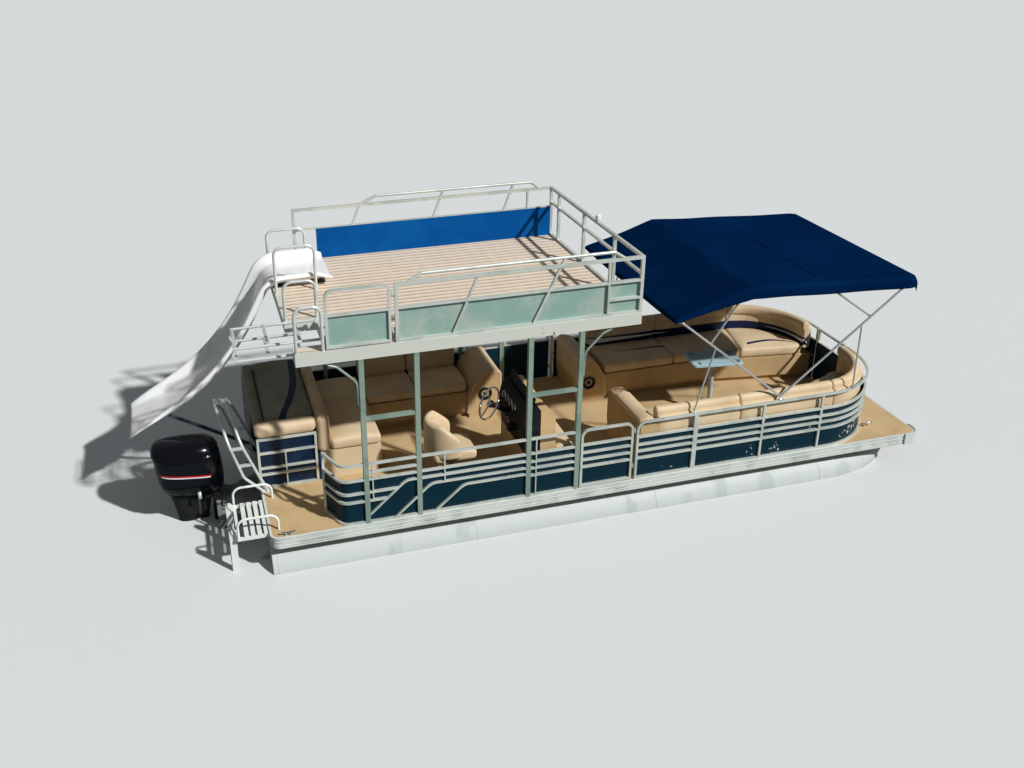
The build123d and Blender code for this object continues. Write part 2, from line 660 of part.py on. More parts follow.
def sun_pad_base():
    """The locker under the sun pad, open at the stern round the engine's well, and the bench base."""
    y0, y1 = PAD_Y
    shell = block(PAD_X[0], PAD_X[1], y0, y1, 0, 598)
    room = block(WELL_FORE + 12, PAD_X[1] - 12, y0 + 12, y1 - 12, 0, 580)
    side_room = block(PAD_X[0] + 12, WELL_FORE + 20, WELL_Y[1] + 12, y1 - 12, 0, 580)
    well = block(-10, WELL_FORE, WELL_Y[0], WELL_Y[1], -5, 580)
    bench = block(PAD_X[1] + 150, 1330, y0, 1150, 0, 330)
    toe = block(1290, 1340, y0 - 10, 1160, -5, 70)
    link = block(PAD_X[1] - 1, PAD_X[1] + 151, y0, 1150, 0, 330)
    return join([shell - room - side_room - well, bench - toe, link])


def soft_block(x0, x1, y0, y1, z0, z1, round_by):
    """A cushion: a box with every edge rounded."""
    shape = block(x0, x1, y0, y1, z0, z1)
    return fillet(shape.edges(), round_by)


def sun_pad_cushion():
    """The large cushion on top of the sun pad."""
    return soft_block(PAD_X[0] - 12, PAD_X[1] + 4, PAD_Y[0] - 30, PAD_Y[1] - 2, 601, 745, 40)


def bench_cushions():
    """The stern bench's backrest and seat cushion, facing forward."""
    x0 = PAD_X[1] + 12
    back = soft_block(x0, x0 + 135, PAD_Y[0] - 30, PAD_Y[1] - 2, 334, 765, 45)
    seat = soft_block(x0 + 140, 1335, PAD_Y[0] - 5, 1145, 332, 450, 35)
    return join([back, seat])


COUCH_TOP = 330.0
SEAT_TOP = 450.0
BACK_TOP = 690.0
ROLL_TOP = 768.0


def couch_parts(points, back_end):
    """A bow couch on the starboard side: its base, seat cushion and backrest with a top roll.
    points is the couch's plan, which the fence line trims outboard; back_end is the backrest's."""
    plan = bow_plan()
    lines = {gap: offset(plan, amount=-gap, kind=Kind.INTERSECTION) for gap in (32, 34, 90, 160, 165, 190)}
    face = lines[32] & outline(points)
    base = plan_plate(face, 0, COUCH_TOP)
    toe_line = Pos(0, -50) * outline(points)
    base = base - (block(3000, 8000, -2000, 2000, -5, 70) - plan_plate(toe_line, -5, 70))
    seat = plan_plate(face & lines[165], COUCH_TOP + 2, SEAT_TOP)
    keep = outline(back_end)
    back = plan_plate((lines[34] - lines[160]) & keep, COUCH_TOP + 2, BACK_TOP)
    roll = plan_plate((lines[90] - lines[190]) & keep, BACK_TOP - 20, ROLL_TOP)
    return base, seat, back + roll


def starboard_couch():
    """The starboard bow couch with its arm: the shell and the cushions."""
    plan = [(4160, -1400), (7300, -1400), (7300, -420), (6780, -420), (6420, -590), (4160, -590)]
    base, seat, back = couch_parts(plan, [(4160, -1400), (7300, -1400), (7300, -345), (6700, -345),
                                          (6300, -900), (4160, -900)])
    arm = side_plate([(3990, 0), (4158, 0), (4158, 640), (3960, 640), (3960, 300)], -1236, -380,
                     [0, 0, 50, 50, 0])
    return join([base, arm]), join([seat, back])


def port_couch():
    """The port bow couch with its wedge arm, reaching round to the bow gate: the shell and the cushions."""
    plan = [(4318, -1400), (7300, -1400), (7300, -345), (6800, -345), (5600, -530), (4318, -530)]
    base, seat, back = couch_parts(plan, [(4318, -1400), (7300, -1400), (7300, -345), (6700, -345),
                                          (6300, -900), (4318, -900)])
    arm = side_plate([(3990, 0), (4316, 0), (4300, 300), (4220, 440), (4120, 560), (3960, 600), (3960, 260)],
                     -1236, -480, [0, 0, 60, 120, 50, 40, 0])
    link = block(4290, 4320, -1230, -530, 70, 300)
    return port(join([base, arm, link])), port(join([seat, back]))


def aft_couch():
    """The port couch under the upper deck, between the stern bench and the port gate."""
    base = block(1345, 2590, 560, 1236, 0, COUCH_TOP) - block(1300, 2700, 550, 600, -5, 70)
    arm = side_plate([(2580, 0), (2950, 0), (2960, 260), (2960, 560), (2790, 560), (2680, 440), (2600, 300)],
                     520, 1236, [0, 0, 0, 50, 60, 120, 60])
    return join([base, arm])


def aft_couch_cushions():
    """The seat cushion and backrest of the port couch under the upper deck."""
    seat = soft_block(1350, 2570, 565, 1095, COUCH_TOP + 2, SEAT_TOP, 35)
    back = soft_block(1350, 2570, 1100, 1234, COUCH_TOP + 2, ROLL_TOP - 3, 40)
    return join([seat, back])


def bow_table():
    """The drop-in table top, with four cup recesses and a raised rim."""
    top = extrude(RectangleRounded(610, 390, 45), 28)
    top = fillet(top.edges().filter_by(GeomType.CIRCLE, reverse=True).group_by(Axis.Z)[-1], 8)
    for x in (-235, 235):
        for y in (-130, 130):
            top -= Pos(x, y, 22) * Cylinder(40, 24)
    return Pos(5400, -150, 700) * Rot(0, 0, -8.8) * top


def table_leg():
    """The table's post with its floor socket and top flange."""
    x, y = 5400.0, -150.0
    return join([Pos(x, y, 348) * Cylinder(30, 696), Pos(x, y, 8) * Cylinder(95, 16),
                 Pos(x, y, 692) * Cylinder(80, 16)])


# Helm
def helm_console():
    """The helm station: a moulded console with a hooded dash and a seat built on its fore side."""
    side = [(2690, 0), (2690, 560), (2640, 640), (2690, 900), (2760, 955), (2930, 955), (3000, 850),
            (3010, 460), (3230, 440), (3230, 0)]
    body = side_plate(side, -1200, -360, [0, 40, 30, 60, 40, 40, 60, 30, 60, 0])
    lean = Vector(-0.866, 0, 0.5)
    centre = Vector(*WHEEL_CENTRE)
    column = rod(tuple(centre - lean * 290), tuple(centre - lean * 62), 60)
    shaft = rod(tuple(centre - lean * 290), tuple(centre + lean * 8), 20)
    screen = side_plate([(2740, 940), (2752, 940), (2800, 1070), (2790, 1075)], -1150, -420)
    return join([body, column, shaft, screen])


def steering_wheel():
    """The three-spoke wheel on its raked column."""
    rim = Torus(180, 11)
    hub = Pos(0, 0, -14) * Cylinder(42, 40)
    spokes = [Rot(0, 0, a) * bar((30, 0, -8), (178, 0, 0), 16, 8) for a in (90, 210, 330)]
    wheel = join([rim, hub] + spokes) - Cylinder(10.06, 200)
    return Plane(origin=WHEEL_CENTRE, x_dir=(0, 1, 0), z_dir=(-0.866025, 0, 0.5)) * wheel


def helm_chair():
    """The helm seat: a bucket with a wrapped back, turning on its pedestal."""
    seat = Pos(0, 0, 410) * Box(500, 440, 120)
    seat = fillet(seat.edges(), 45)
    shell = extrude(Pos(0, 0, 430) * RectangleRounded(550, 500, 150), 370)
    hollow = extrude(Pos(110, 0, 440) * RectangleRounded(580, 350, 110), 480)
    lowered = Plane.XZ * outline([(-400, 830), (400, 830), (400, 560), (60, 610), (-110, 790), (-400, 801)])
    back = shell - hollow - extrude(lowered, 400, both=True)
    plate = Pos(0, 0, 344) * Cylinder(110, 12)
    return Pos(CHAIR_X, CHAIR_Y, 0) * join([seat, back, plate])


def helm_pedestal():
    """The column under the helm seat with its round floor flange."""
    return Pos(CHAIR_X, CHAIR_Y, 0) * join([Pos(0, 0, 166) * Cylinder(36, 332), Pos(0, 0, 7) * Cylinder(130, 14)])


# Outboard engine
def engine_bracket():
    """The clamp brackets hooked over the transom, with the tilt tube between them."""
    hook = [(-505, -430), (-470, -430), (-470, -190), (-425, -190), (-425, -270), (-405, -270),
            (-405, -115), (-425, -93), (-465, -93), (-505, -128)]
    arms = [side_plate(hook, y, y + 25) for y in (-130, 105)]
    return join(arms + [rod((TILT_X, -130, TILT_Z), (TILT_X, 130, TILT_Z), 30)])


def engine_swivel():
    """The swivel bracket: it tilts on the tilt tube and holds the steering pin."""
    barrel = rod((STEER_X, 0, -425), (STEER_X, 0, -130), 68)
    eye = rod((TILT_X, -99, TILT_Z), (TILT_X, 99, TILT_Z), 56)
    yoke = side_plate([(TILT_X + 5, -148), (TILT_X + 5, -98), (-530, -128), (STEER_X, -130), (STEER_X, -420),
                       (-560, -420), (-520, -200)], -40, 40)
    web = side_plate([(TILT_X, -144), (TILT_X, -98), (-530, -128), (STEER_X + 20, -130),
                      (STEER_X + 20, -172)], -99, 99)
    clear_tube = rod((TILT_X, -150, TILT_Z), (TILT_X, 150, TILT_Z), 30.2)
    return join([barrel, eye, yoke, web]) - clear_tube - rod((STEER_X, 0, -500), (STEER_X, 0, 0), 32)


def engine_leg():
    """The steering pin, midsection, cavitation plate, gearcase, skeg and propeller shaft."""
    stations = (  # height, centre x, half length, half width
        (-100, -800, 152, 88),
        (-330, -780, 118, 62),
        (-640, -768, 100, 40),
        (PROP_Z, -770, 95, 26),
    )
    column = loft([Pos(x, 0, z) * Ellipse(a, b) for z, x, a, b in stations])
    pin = rod((STEER_X, 0, -470), (STEER_X, 0, -100), 31.84)
    top_yoke = block(-700, STEER_X + 34, -45, 45, -116, -80)
    low_yoke = block(-720, STEER_X + 30, -32, 32, -470, -438)
    plate = plan_plate(outline([(-620, 0), (-700, -80), (-930, -95), (-985, -60), (-985, 60), (-930, 95),
                                (-700, 80)]), -705, -693)
    torpedo = revolve(Plane.XZ * make_face(Polyline((-585, 0), (-905, 0), (-905, 36), (-760, 50),
                                                     (-650, 44), (-600, 22), close=True)), Axis.X)
    case = Pos(0, 0, PROP_Z) * torpedo
    skeg = side_plate([(-690, PROP_Z - 30), (-860, PROP_Z - 30), (-880, PROP_Z - 190), (-810, PROP_Z - 190)],
                      -5, 5)
    shaft = rod((-900, 0, PROP_Z), (-1000, 0, PROP_Z), 24)
    return column + top_yoke + low_yoke + pin + plate + case + skeg + shaft


def engine_cowl():
    """The engine cover over its lower pan, lofted through rounded plan sections."""
    pan = ((-78, -364, -960, 140, 110), (-10, -352, -1000, 195, 130), (70, -348, -1022, 215, 135))
    hood = ((76, -344, -1030, 222, 140), (310, -364, -1062, 224, 140), (440, -397, -1072, 205, 130),
            (510, -442, -1052, 165, 105), (526, -492, -1010, 120, 80))
    # each section: height, fore end, aft end, half width, corner radius
    shapes = []
    for sections in (pan, hood):
        faces = []
        for z, fore, aft, half, radius in sections:
            faces.append(Pos((fore + aft) / 2, 0, z) * RectangleRounded(fore - aft, 2 * half, radius))
        shapes.append(loft(faces))
    seam = Pos(-687, 0, 69) * extrude(RectangleRounded(656, 400, 125), 8)
    return join(shapes + [seam])


def propeller():
    """The three-bladed propeller."""
    hub = Cylinder(38, 82)
    blade = extrude(Ellipse(62, 48), 7, both=True)
    blades = [Rot(0, 0, a) * Pos(98, 0, 0) * Rot(62, 0, 0) * blade for a in (0, 120, 240)]
    return Pos(-950, 0, PROP_Z) * Rot(0, 90, 0) * (join([hub] + blades) - Cylinder(12.06, 200))


# Sun top
FRONT_BOW = (7130.0, 1915.0)
AFT_BOW = (4330.0, 1770.0)
AFT_AUX = ((4743.0, 1434.0), (5137.0, 2028.0))
FRONT_AUX = ((6646.0, 1537.0), (6013.0, 1985.0))
AFT_STRUT = ((4575.0, 722.0), (4770.0, 1398.0))
FRONT_STRUT_X = 6539.0


def sun_bow(foot, foot_y, top, top_y, diameter, eye=0.0):
    """A bow of the sun top: two legs and a cross bar; eye is the pivot eye's radius, if it turns."""
    (x0, z0), (x1, z1) = foot, top
    route = [(x0, -foot_y, z0), (x1, -top_y, z1), (x1, top_y, z1), (x0, foot_y, z0)]
    bow = tube(route, [110, 110], diameter)
    if eye:
        for y in (-foot_y, foot_y):
            ring = Pos(x0, y, z0) * Rot(90, 0, 0) * Cylinder(eye, 14)
            bow = bow + ring - Pos(x0, y, z0) * Rot(90, 0, 0) * Cylinder(6.1, 60)
    return bow


def front_bow():
    """The fixed front bow with its rail brackets, pivot pins and upright struts."""
    x, z = SUN_X, SUN_Z
    bow = sun_bow((x, z), 1242, FRONT_BOW, 1183, SUN_TUBE)
    rail_x = FRONT_STRUT_X
    star = [
        block(x - 25, x + 25, -1284, -1245, RAIL_TOP, RAIL_TOP + 12),
        block(x - 12, x + 12, -1266, -1254, RAIL_TOP, z + 12),
        rod((x, -1260, z), (x, -1203, z), 12),
        rod((rail_x, -1226, RAIL_TOP + 2), (rail_x, -1210, 1452), 19),
        block(rail_x - 20, rail_x + 20, -1250, -1205, RAIL_TOP, RAIL_TOP + 12),
    ]
    aux_x, aux_z = FRONT_AUX[0]
    star.append(rod((aux_x, -1212, aux_z), (aux_x, -1160, aux_z), 12))
    return join([bow] + star + [port(part) for part in star])


def aft_bow():
    """The aft bow, which folds forward on the front bow's pivot pins."""
    bow = sun_bow((SUN_X, SUN_Z), 1212, AFT_BOW, 1165, SUN_TUBE, 15)
    x, z = AFT_AUX[0]
    pin = rod((x, -1182, z), (x, -1138, z), 12)
    return join([bow, pin, port(pin)])


def aux_bow(ends, foot_y):
    """A lighter bow that stands on one of the main bows."""
    return sun_bow(ends[0], foot_y, ends[1], foot_y - 12, 22, 14)


def aft_struts():
    """The two struts that hold the aft bow up, hinged on the rail."""
    (x0, z0), (x1, z1) = AFT_STRUT
    star = rod((x0, -1240, z0), (x1, -1208, z1), 19)
    star += Pos(x0, -1240, z0) * Rot(90, 0, 0) * Cylinder(14, 14)
    star -= Pos(x0, -1240, z0) * Rot(90, 0, 0) * Cylinder(6.1, 40)
    return both(star)


def strut_brackets():
    """The rail brackets and pins of the aft struts, as starboard solids."""
    x, z = AFT_STRUT[0]
    return [block(x - 20, x + 20, -1284, -1252, RAIL_TOP, RAIL_TOP + 8),
            block(x - 10, x + 10, -1266, -1254, RAIL_TOP, z + 12),
            rod((x, -1260, z), (x, -1231, z), 12)]


CANOPY_LINE = (  # x, height, depth of the hem below it
    (4290.0, 1787.0, 36.0),
    (5150.0, 2053.0, 132.0),
    (6013.0, 2004.0, 130.0),
    (7165.0, 1942.0, 128.0),
)
CANOPY_HALF = 1212.0
CANOPY_SKIN = 6.0


def canopy():
    """The sun top's cover: one bent sheet with turned-down hems, shallow at the aft corners."""
    top = [(x, z) for x, z, hem in CANOPY_LINE]
    under = [(x, z - CANOPY_SKIN) for x, z in reversed(top)]
    sheet = side_plate(top + under, -CANOPY_HALF, CANOPY_HALF)
    skirt = [(x, z - hem) for x, z, hem in reversed(CANOPY_LINE)]
    cheek = side_plate(top + skirt, -CANOPY_HALF, -CANOPY_HALF + CANOPY_SKIN)
    (aft_x, aft_z, aft_hem), (fore_x, fore_z, fore_hem) = CANOPY_LINE[0], CANOPY_LINE[-1]
    ends = [block(aft_x, aft_x + CANOPY_SKIN, -CANOPY_HALF, CANOPY_HALF, aft_z - aft_hem, aft_z),
            block(fore_x - CANOPY_SKIN, fore_x, -CANOPY_HALF, CANOPY_HALF, fore_z - fore_hem, fore_z)]
    return join([sheet, both(cheek)] + ends)


def build():
    """Every sub-part by name, in deck coordinates."""
    star_float = float_tube()
    floats = [star_float, port(star_float)]
    gate, gate_pins = side_gate()
    front_gate, front_pins = bow_gate()
    high_gate, high_pins = upper_gate()
    fence_bow = bow_fence()
    brackets = strut_brackets()
    fence_star = join([fence_bow, gate_pins] + brackets)
    channel = slide()
    star_shell, star_cushions = starboard_couch()
    port_shell, port_cushions = port_couch()
    return {
        "starboard_float": star_float,
        "port_float": floats[1],
        "deck_frame": deck_frame(floats),
        "motor_pod": motor_pod(),
        "lower_deck": lower_deck(),
        "deck_edge_trim": edge_trim(),
        "starboard_aft_fence": aft_fence(True),
        "port_aft_fence": port(aft_fence(False)),
        "starboard_bow_fence": join([fence_star, front_pins]),
        "port_bow_fence": port(fence_star),
        "fence_panels": join([fence_panels(True), port(fence_panels(False))]),
        "starboard_gate": gate,
        "starboard_gate_panel": side_gate_panel(),
        "port_gate": port(gate),
        "port_gate_panel": port(side_gate_panel()),
        "bow_gate": front_gate,
        "bow_gate_panel": bow_gate_panel(),
        "uprights": uprights(),
        "upper_deck_frame": join([upper_frame()] + ladder_mounts()),
        "upper_deck_floor": upper_floor(),
        "upper_rails": join([upper_rails(), high_pins]),
        "upper_starboard_panel": upper_panel(1347 + 16),
        "upper_port_panel": port(upper_panel(975)),
        "upper_gate": high_gate,
        "upper_gate_panel": upper_gate_panel(),
        "grab_hoops": grab_hoops(),
        "slide": channel,
        "slide_supports": slide_supports(channel),
        "upper_ladder": upper_ladder(),
        "ladder_extension": ladder_extension(),
        "boarding_platform": boarding_platform(),
        "boarding_ladder": boarding_ladder(),
        "tow_arch": tow_arch(),
        "sun_pad_rails": sun_pad_rails(),
        "sun_pad_base": sun_pad_base(),
        "sun_pad_cushion": sun_pad_cushion(),
        "bench_cushions": bench_cushions(),
        "aft_couch": aft_couch(),
        "aft_couch_cushions": aft_couch_cushions(),
        "starboard_couch": star_shell,
        "starboard_couch_cushions": star_cushions,
        "port_couch": port_shell,
        "port_couch_cushions": port_cushions,
        "bow_table": bow_table(),
        "table_leg": table_leg(),
        "helm_console": helm_console(),
        "steering_wheel": steering_wheel(),
        "helm_chair": helm_chair(),
        "helm_pedestal": helm_pedestal(),
        "engine_bracket": engine_bracket(),
        "engine_swivel": engine_swivel(),
        "engine_leg": engine_leg(),
        "engine_cowl": engine_cowl(),
        "propeller": propeller(),
        "sun_top_front_bow": front_bow(),
        "sun_top_aft_bow": aft_bow(),
        "sun_top_aft_prop_bow": aux_bow(AFT_AUX, 1150),
        "sun_top_front_prop_bow": aux_bow(FRONT_AUX, 1172),
        "sun_top_aft_struts": aft_struts(),
        "sun_top_canopy": canopy(),
    }


os.makedirs("parts", exist_ok=True)
place = Pos(-DECK_LENGTH / 2, 0, DECK_ABOVE_WATER)
for name, shape in build().items():
    export_step(place * shape, f"parts/{name}.step")
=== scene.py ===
"""Looks of the double-deck pontoon boat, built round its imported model.

Lengths are metres. Shapes are worked out in deck coordinates: x forward from the lower deck's
stern edge, y to port and z above that deck. SHIFT carries them to the frame of the model, whose
origin is on the water amidships.
"""

import json
import logging
import math
from collections.abc import Callable
from dataclasses import dataclass, field
from enum import Enum

import bmesh
import bpy
import numpy as np
from mathutils import Matrix, Vector

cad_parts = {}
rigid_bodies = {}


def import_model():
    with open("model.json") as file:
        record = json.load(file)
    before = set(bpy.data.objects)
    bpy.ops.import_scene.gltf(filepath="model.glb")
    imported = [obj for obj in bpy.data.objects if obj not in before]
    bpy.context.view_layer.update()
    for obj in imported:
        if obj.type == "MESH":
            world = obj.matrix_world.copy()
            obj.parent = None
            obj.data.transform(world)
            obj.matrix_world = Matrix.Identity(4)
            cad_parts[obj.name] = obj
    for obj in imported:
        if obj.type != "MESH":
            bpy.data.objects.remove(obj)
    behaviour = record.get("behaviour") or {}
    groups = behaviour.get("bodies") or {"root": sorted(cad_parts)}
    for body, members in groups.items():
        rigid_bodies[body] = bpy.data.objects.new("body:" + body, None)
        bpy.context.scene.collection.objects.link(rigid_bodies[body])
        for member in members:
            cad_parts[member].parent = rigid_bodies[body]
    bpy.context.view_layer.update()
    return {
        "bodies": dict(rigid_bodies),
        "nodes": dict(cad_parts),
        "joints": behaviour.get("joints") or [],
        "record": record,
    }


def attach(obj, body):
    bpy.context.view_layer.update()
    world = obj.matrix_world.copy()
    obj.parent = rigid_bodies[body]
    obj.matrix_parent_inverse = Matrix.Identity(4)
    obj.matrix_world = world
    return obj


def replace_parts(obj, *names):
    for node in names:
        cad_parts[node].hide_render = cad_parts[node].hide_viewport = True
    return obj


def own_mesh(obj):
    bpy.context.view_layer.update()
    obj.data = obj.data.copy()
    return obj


LOG = logging.getLogger("pontoon_boat")
SHIFT = np.array((-3.75, 0.0, 0.45))
TINY = 1e-9  # keeps a length of nothing from being divided by
STATION = 0.03  # the run between two stations of a cushion
THINNEST = 0.004  # the least half width and half height of a cushion's section
FILL_FRAMES = 12  # the frames over which a cushion is filled
SOFT_EDGE = 75.0  # the angle past which an edge of a soft piece stays sharp

Rgb = tuple[float, float, float]
Point = tuple[float, float, float]
Pair = tuple[float, float]
Socket = bpy.types.NodeSocket
Sockets = tuple[bpy.types.NodeSocket, bpy.types.NodeSocket]
Value = bpy.types.NodeSocket | float


def tint(red: int, green: int, blue: int) -> Rgb:
    """Turns display values from 0 to 255 into the linear values that a shader takes.

    The curve is the display's own: straight at its dark end and a power of 2.4 above it.

    Args:
        red, green, blue: the colour as a screen shows it.

    Returns:
        The linear red, green and blue.
    """
    shown = np.array((red, green, blue)) / 255.0
    linear = np.where(shown <= 0.04045, shown / 12.92, ((shown + 0.055) / 1.055) ** 2.4)
    return tuple(float(part) for part in linear)


@dataclass
class Form:
    """A surface under construction: its points, its faces and the pattern place of each corner."""

    points: np.ndarray
    faces: list[list[int]]
    places: np.ndarray

    def __add__(self, other: "Form") -> "Form":
        """Puts two forms in one, side by side.

        Args:
            other: the second form, whose faces are counted on from the first one's points.

        Returns:
            The two as one form.
        """
        moved = [[k + len(self.points) for k in face] for face in other.faces]
        points = np.vstack((self.points, other.points))
        return Form(points, self.faces + moved, np.vstack((self.places, other.places)))

    def mirrored(self) -> "Form":
        """The same form on the other side of the boat: y changes its sign and faces turn round.

        Returns:
            The mirrored form, with each face's pattern places turned round as well.
        """
        turned = [face[::-1] for face in self.faces]
        start = np.cumsum([0] + [len(face) for face in self.faces])
        order = np.concatenate([np.arange(b - 1, a - 1, -1) for a, b in zip(start[:-1], start[1:])])
        return Form(self.points * np.array((1.0, -1.0, 1.0)), turned, self.places[order])


def merged(forms: list[Form]) -> Form:
    """Puts several forms in one mesh.

    Args:
        forms: one form or more.

    Returns:
        The forms as one.
    """
    total = forms[0]
    for form in forms[1:]:
        total = total + form
    return total


def grid_form(
    points: np.ndarray,
    close_along: bool = False,
    close_round: bool = False,
    along: np.ndarray | None = None,
    around: np.ndarray | None = None,
    caps: bool = False,
) -> Form:
    """A surface through a grid of points, by joining each point to the next in both directions.

    Args:
        points: the grid, shaped (stations, points round, 3).
        close_along: whether the last station joins the first.
        close_round: whether the last point of a station joins its first.
        along: the pattern coordinate of each station, one more than the stations where closed.
        around: the pattern coordinate of each point of a station, likewise.
        caps: whether the two end stations are filled.

    Returns:
        The form of the surface.
    """
    n, m = points.shape[:2]
    rows = n if close_along else n - 1
    columns = m if close_round else m - 1
    i, j = np.meshgrid(np.arange(rows), np.arange(columns), indexing="ij")
    corner_i = np.stack((i, i + 1, i + 1, i), axis=-1).reshape(-1, 4)
    corner_j = np.stack((j, j, j + 1, j + 1), axis=-1).reshape(-1, 4)
    faces = ((corner_i % n) * m + corner_j % m).tolist()
    u = np.linspace(0, 1, rows + 1) if along is None else np.asarray(along, float)
    v = np.linspace(0, 1, columns + 1) if around is None else np.asarray(around, float)
    places = np.stack((u[corner_i], v[corner_j]), axis=-1).reshape(-1, 2)
    if caps:
        first = list(range(m))
        last = [(n - 1) * m + k for k in range(m)]
        faces += [first, last[::-1]]
        first_places = np.column_stack((np.full(m, u[0]), v[:m]))
        last_places = np.column_stack((np.full(m, u[-1]), v[:m][::-1]))
        places = np.vstack((places, first_places, last_places))
    return Form(points.reshape(-1, 3), faces, places)


def smooth_line(points: np.ndarray, count: int) -> np.ndarray:
    """A smooth line through points, by cubic pieces whose slopes follow the neighbours.

    Args:
        points: the points to pass, shaped (k, d).
        count: how many points the result has, evenly spaced in the parameter.

    Returns:
        The line, shaped (count, d).
    """
    p = np.asarray(points, float)
    padded = np.vstack((2 * p[0] - p[1], p, 2 * p[-1] - p[-2]))
    t = np.linspace(0, len(p) - 1, count)
    k = np.minimum(t.astype(int), len(p) - 2)
    f = (t - k)[:, None]
    a, b, c, d = padded[k], padded[k + 1], padded[k + 2], padded[k + 3]
    squared = (2 * a - 5 * b + 4 * c - d) * f**2
    cubed = (3 * b - a - 3 * c + d) * f**3
    return 0.5 * (2 * b + (c - a) * f + squared + cubed)


def straight_rail(start: Pair, end: Pair, count: int = 40) -> np.ndarray:
    """Even points from one (x, y) to another at height 0: start + (end - start) * t.

    Args:
        start, end: the two ends.
        count: how many points.

    Returns:
        The points, shaped (count, 3).
    """
    first, last = np.array((*start, 0.0)), np.array((*end, 0.0))
    return first + (last - first) * np.linspace(0, 1, count)[:, None]


def rounded_line(points: np.ndarray, radii: tuple[float, ...], step: float) -> np.ndarray:
    """Straight runs joined by arcs of given radii, sampled about every step.

    Each arc is centre + arm cos t + square sin t, where square is the arm turned by 90 degrees.

    Args:
        points: the corners and the two ends, shaped (k, 2).
        radii: the radius at each inner corner.
        step: the wanted distance between samples.

    Returns:
        The samples, shaped (n, 2).
    """
    p = np.asarray(points, float)
    pieces = []
    last = p[0]
    for corner, before, after, radius in zip(p[1:-1], p[:-2], p[2:], radii):
        into = (corner - before) / np.linalg.norm(corner - before)
        out = (after - corner) / np.linalg.norm(after - corner)
        turn = math.atan2(into[0] * out[1] - into[1] * out[0], float(into @ out))
        reach = radius * math.tan(abs(turn) / 2)
        start = corner - into * reach
        runs = max(2, int(np.linalg.norm(start - last) / step) + 1)
        pieces.append(last + (start - last) * np.linspace(0, 1, runs)[:-1, None])
        side = math.copysign(1.0, turn) * np.array((-into[1], into[0]))
        centre = start + side * radius
        angle = np.linspace(0, turn, max(4, int(radius * abs(turn) / step) + 2))[:-1, None]
        arm = start - centre
        square = np.array((-arm[1], arm[0]))
        pieces.append(centre + arm * np.cos(angle) + square * np.sin(angle))
        last = corner + out * reach
    runs = max(2, int(np.linalg.norm(p[-1] - last) / step) + 1)
    pieces.append(last + (p[-1] - last) * np.linspace(0, 1, runs)[:, None])
    return np.vstack(pieces)


def directions(path: np.ndarray) -> np.ndarray:
    """The unit direction of a path at each of its points."""
    steps = np.gradient(path, axis=0)
    return steps / np.linalg.norm(steps, axis=1, keepdims=True)


def lengths(path: np.ndarray) -> np.ndarray:
    """The distance run along a path at each of its points."""
    return np.concatenate(((0.0,), np.cumsum(np.linalg.norm(np.diff(path, axis=0), axis=1))))


def swept_form(
    path: np.ndarray, profile: np.ndarray, side: np.ndarray | Point, caps: bool = True, closed: bool = True
) -> Form:
    """A profile carried along a path: point = path + side * across + up * height.


    Args:
        path: the points of the path, shaped (n, 3).
        profile: across and height of each profile point, shaped (m, 2) or (n, m, 2).
        side: the direction that across is measured in, one for all or one for each point.
        caps: whether the ends are filled.
        closed: whether the profile closes on itself.

    Returns:
        The swept form, its up direction square to the path and to side.
    """
    ahead = directions(path)
    side = np.broadcast_to(np.asarray(side, float), path.shape)
    side = side - ahead * np.sum(side * ahead, axis=1, keepdims=True)
    side = side / np.linalg.norm(side, axis=1, keepdims=True)
    up = np.cross(side, ahead)
    section = np.broadcast_to(profile, (len(path),) + profile.shape[-2:])
    points = path[:, None] + side[:, None] * section[..., :1] + up[:, None] * section[..., 1:]
    around = lengths(np.vstack((section[0], section[0][:1])) if closed else section[0])
    return grid_form(points, close_round=closed, along=lengths(path), around=around, caps=caps and closed)


def ring_profile(radius: float, sides: int, flat: float = 1.0) -> np.ndarray:
    """A round or oval profile: (radius cos t, radius flat sin t)."""
    t = np.linspace(0, 2 * np.pi, sides, endpoint=False)
    return radius * np.column_stack((np.cos(t), flat * np.sin(t)))


def square_to(axis: np.ndarray, other: Point) -> np.ndarray:
    """A direction square to an axis and to world up, or to the other one where the axis is upright."""
    return np.cross(axis, (0.0, 0.0, 1.0) if abs(axis[2]) < 0.9 else other)


def tube_form(path: np.ndarray, radius: float) -> Form:
    """A round tube along a path of about one plane.

    Args:
        path: the points of the path, shaped (n, 3).
        radius: the tube's radius.

    Returns:
        The tube, whose section is laid out from the normal of the plane nearest the path, or
        from any direction square to a straight path.
    """
    path = np.asarray(path, float)
    chord = path[-1] - path[0]
    ahead = chord / max(float(np.linalg.norm(chord)), TINY)
    normal = np.linalg.svd(path - path.mean(axis=0))[2][2]
    straight = len(path) < 3 or np.ptp((path - path[0]) @ np.cross(normal, ahead)) < 1e-6
    if straight:
        normal = square_to(ahead, (0.0, 1.0, 0.0))
    return swept_form(path, ring_profile(radius, 12), normal)


def spun_form(line: np.ndarray | tuple, centre: Point, axis: Point, sides: int = 32) -> Form:
    """A line spun round an axis: point = centre + r (x cos t + y sin t) + h z.

    Args:
        line: the radius r and the distance along the axis h of each point, shaped (n, 2).
        centre: where the axis starts.
        axis: its direction, z in the formula.
        sides: how many points each ring has.

    Returns:
        The closed form, its two end rings filled.
    """
    z = np.asarray(axis, float) / np.linalg.norm(axis)
    x = square_to(z, (1.0, 0.0, 0.0))
    x = x / np.linalg.norm(x)
    y = np.cross(z, x)
    t = np.linspace(0, 2 * np.pi, sides, endpoint=False)
    ring = np.cos(t)[:, None] * x + np.sin(t)[:, None] * y
    line = np.asarray(line, float)
    points = np.array(centre) + line[:, 0, None, None] * ring[None] + line[:, 1, None, None] * z
    around = np.linspace(0, 1, sides + 1)
    return grid_form(points, close_round=True, along=lengths(line), around=around, caps=True)


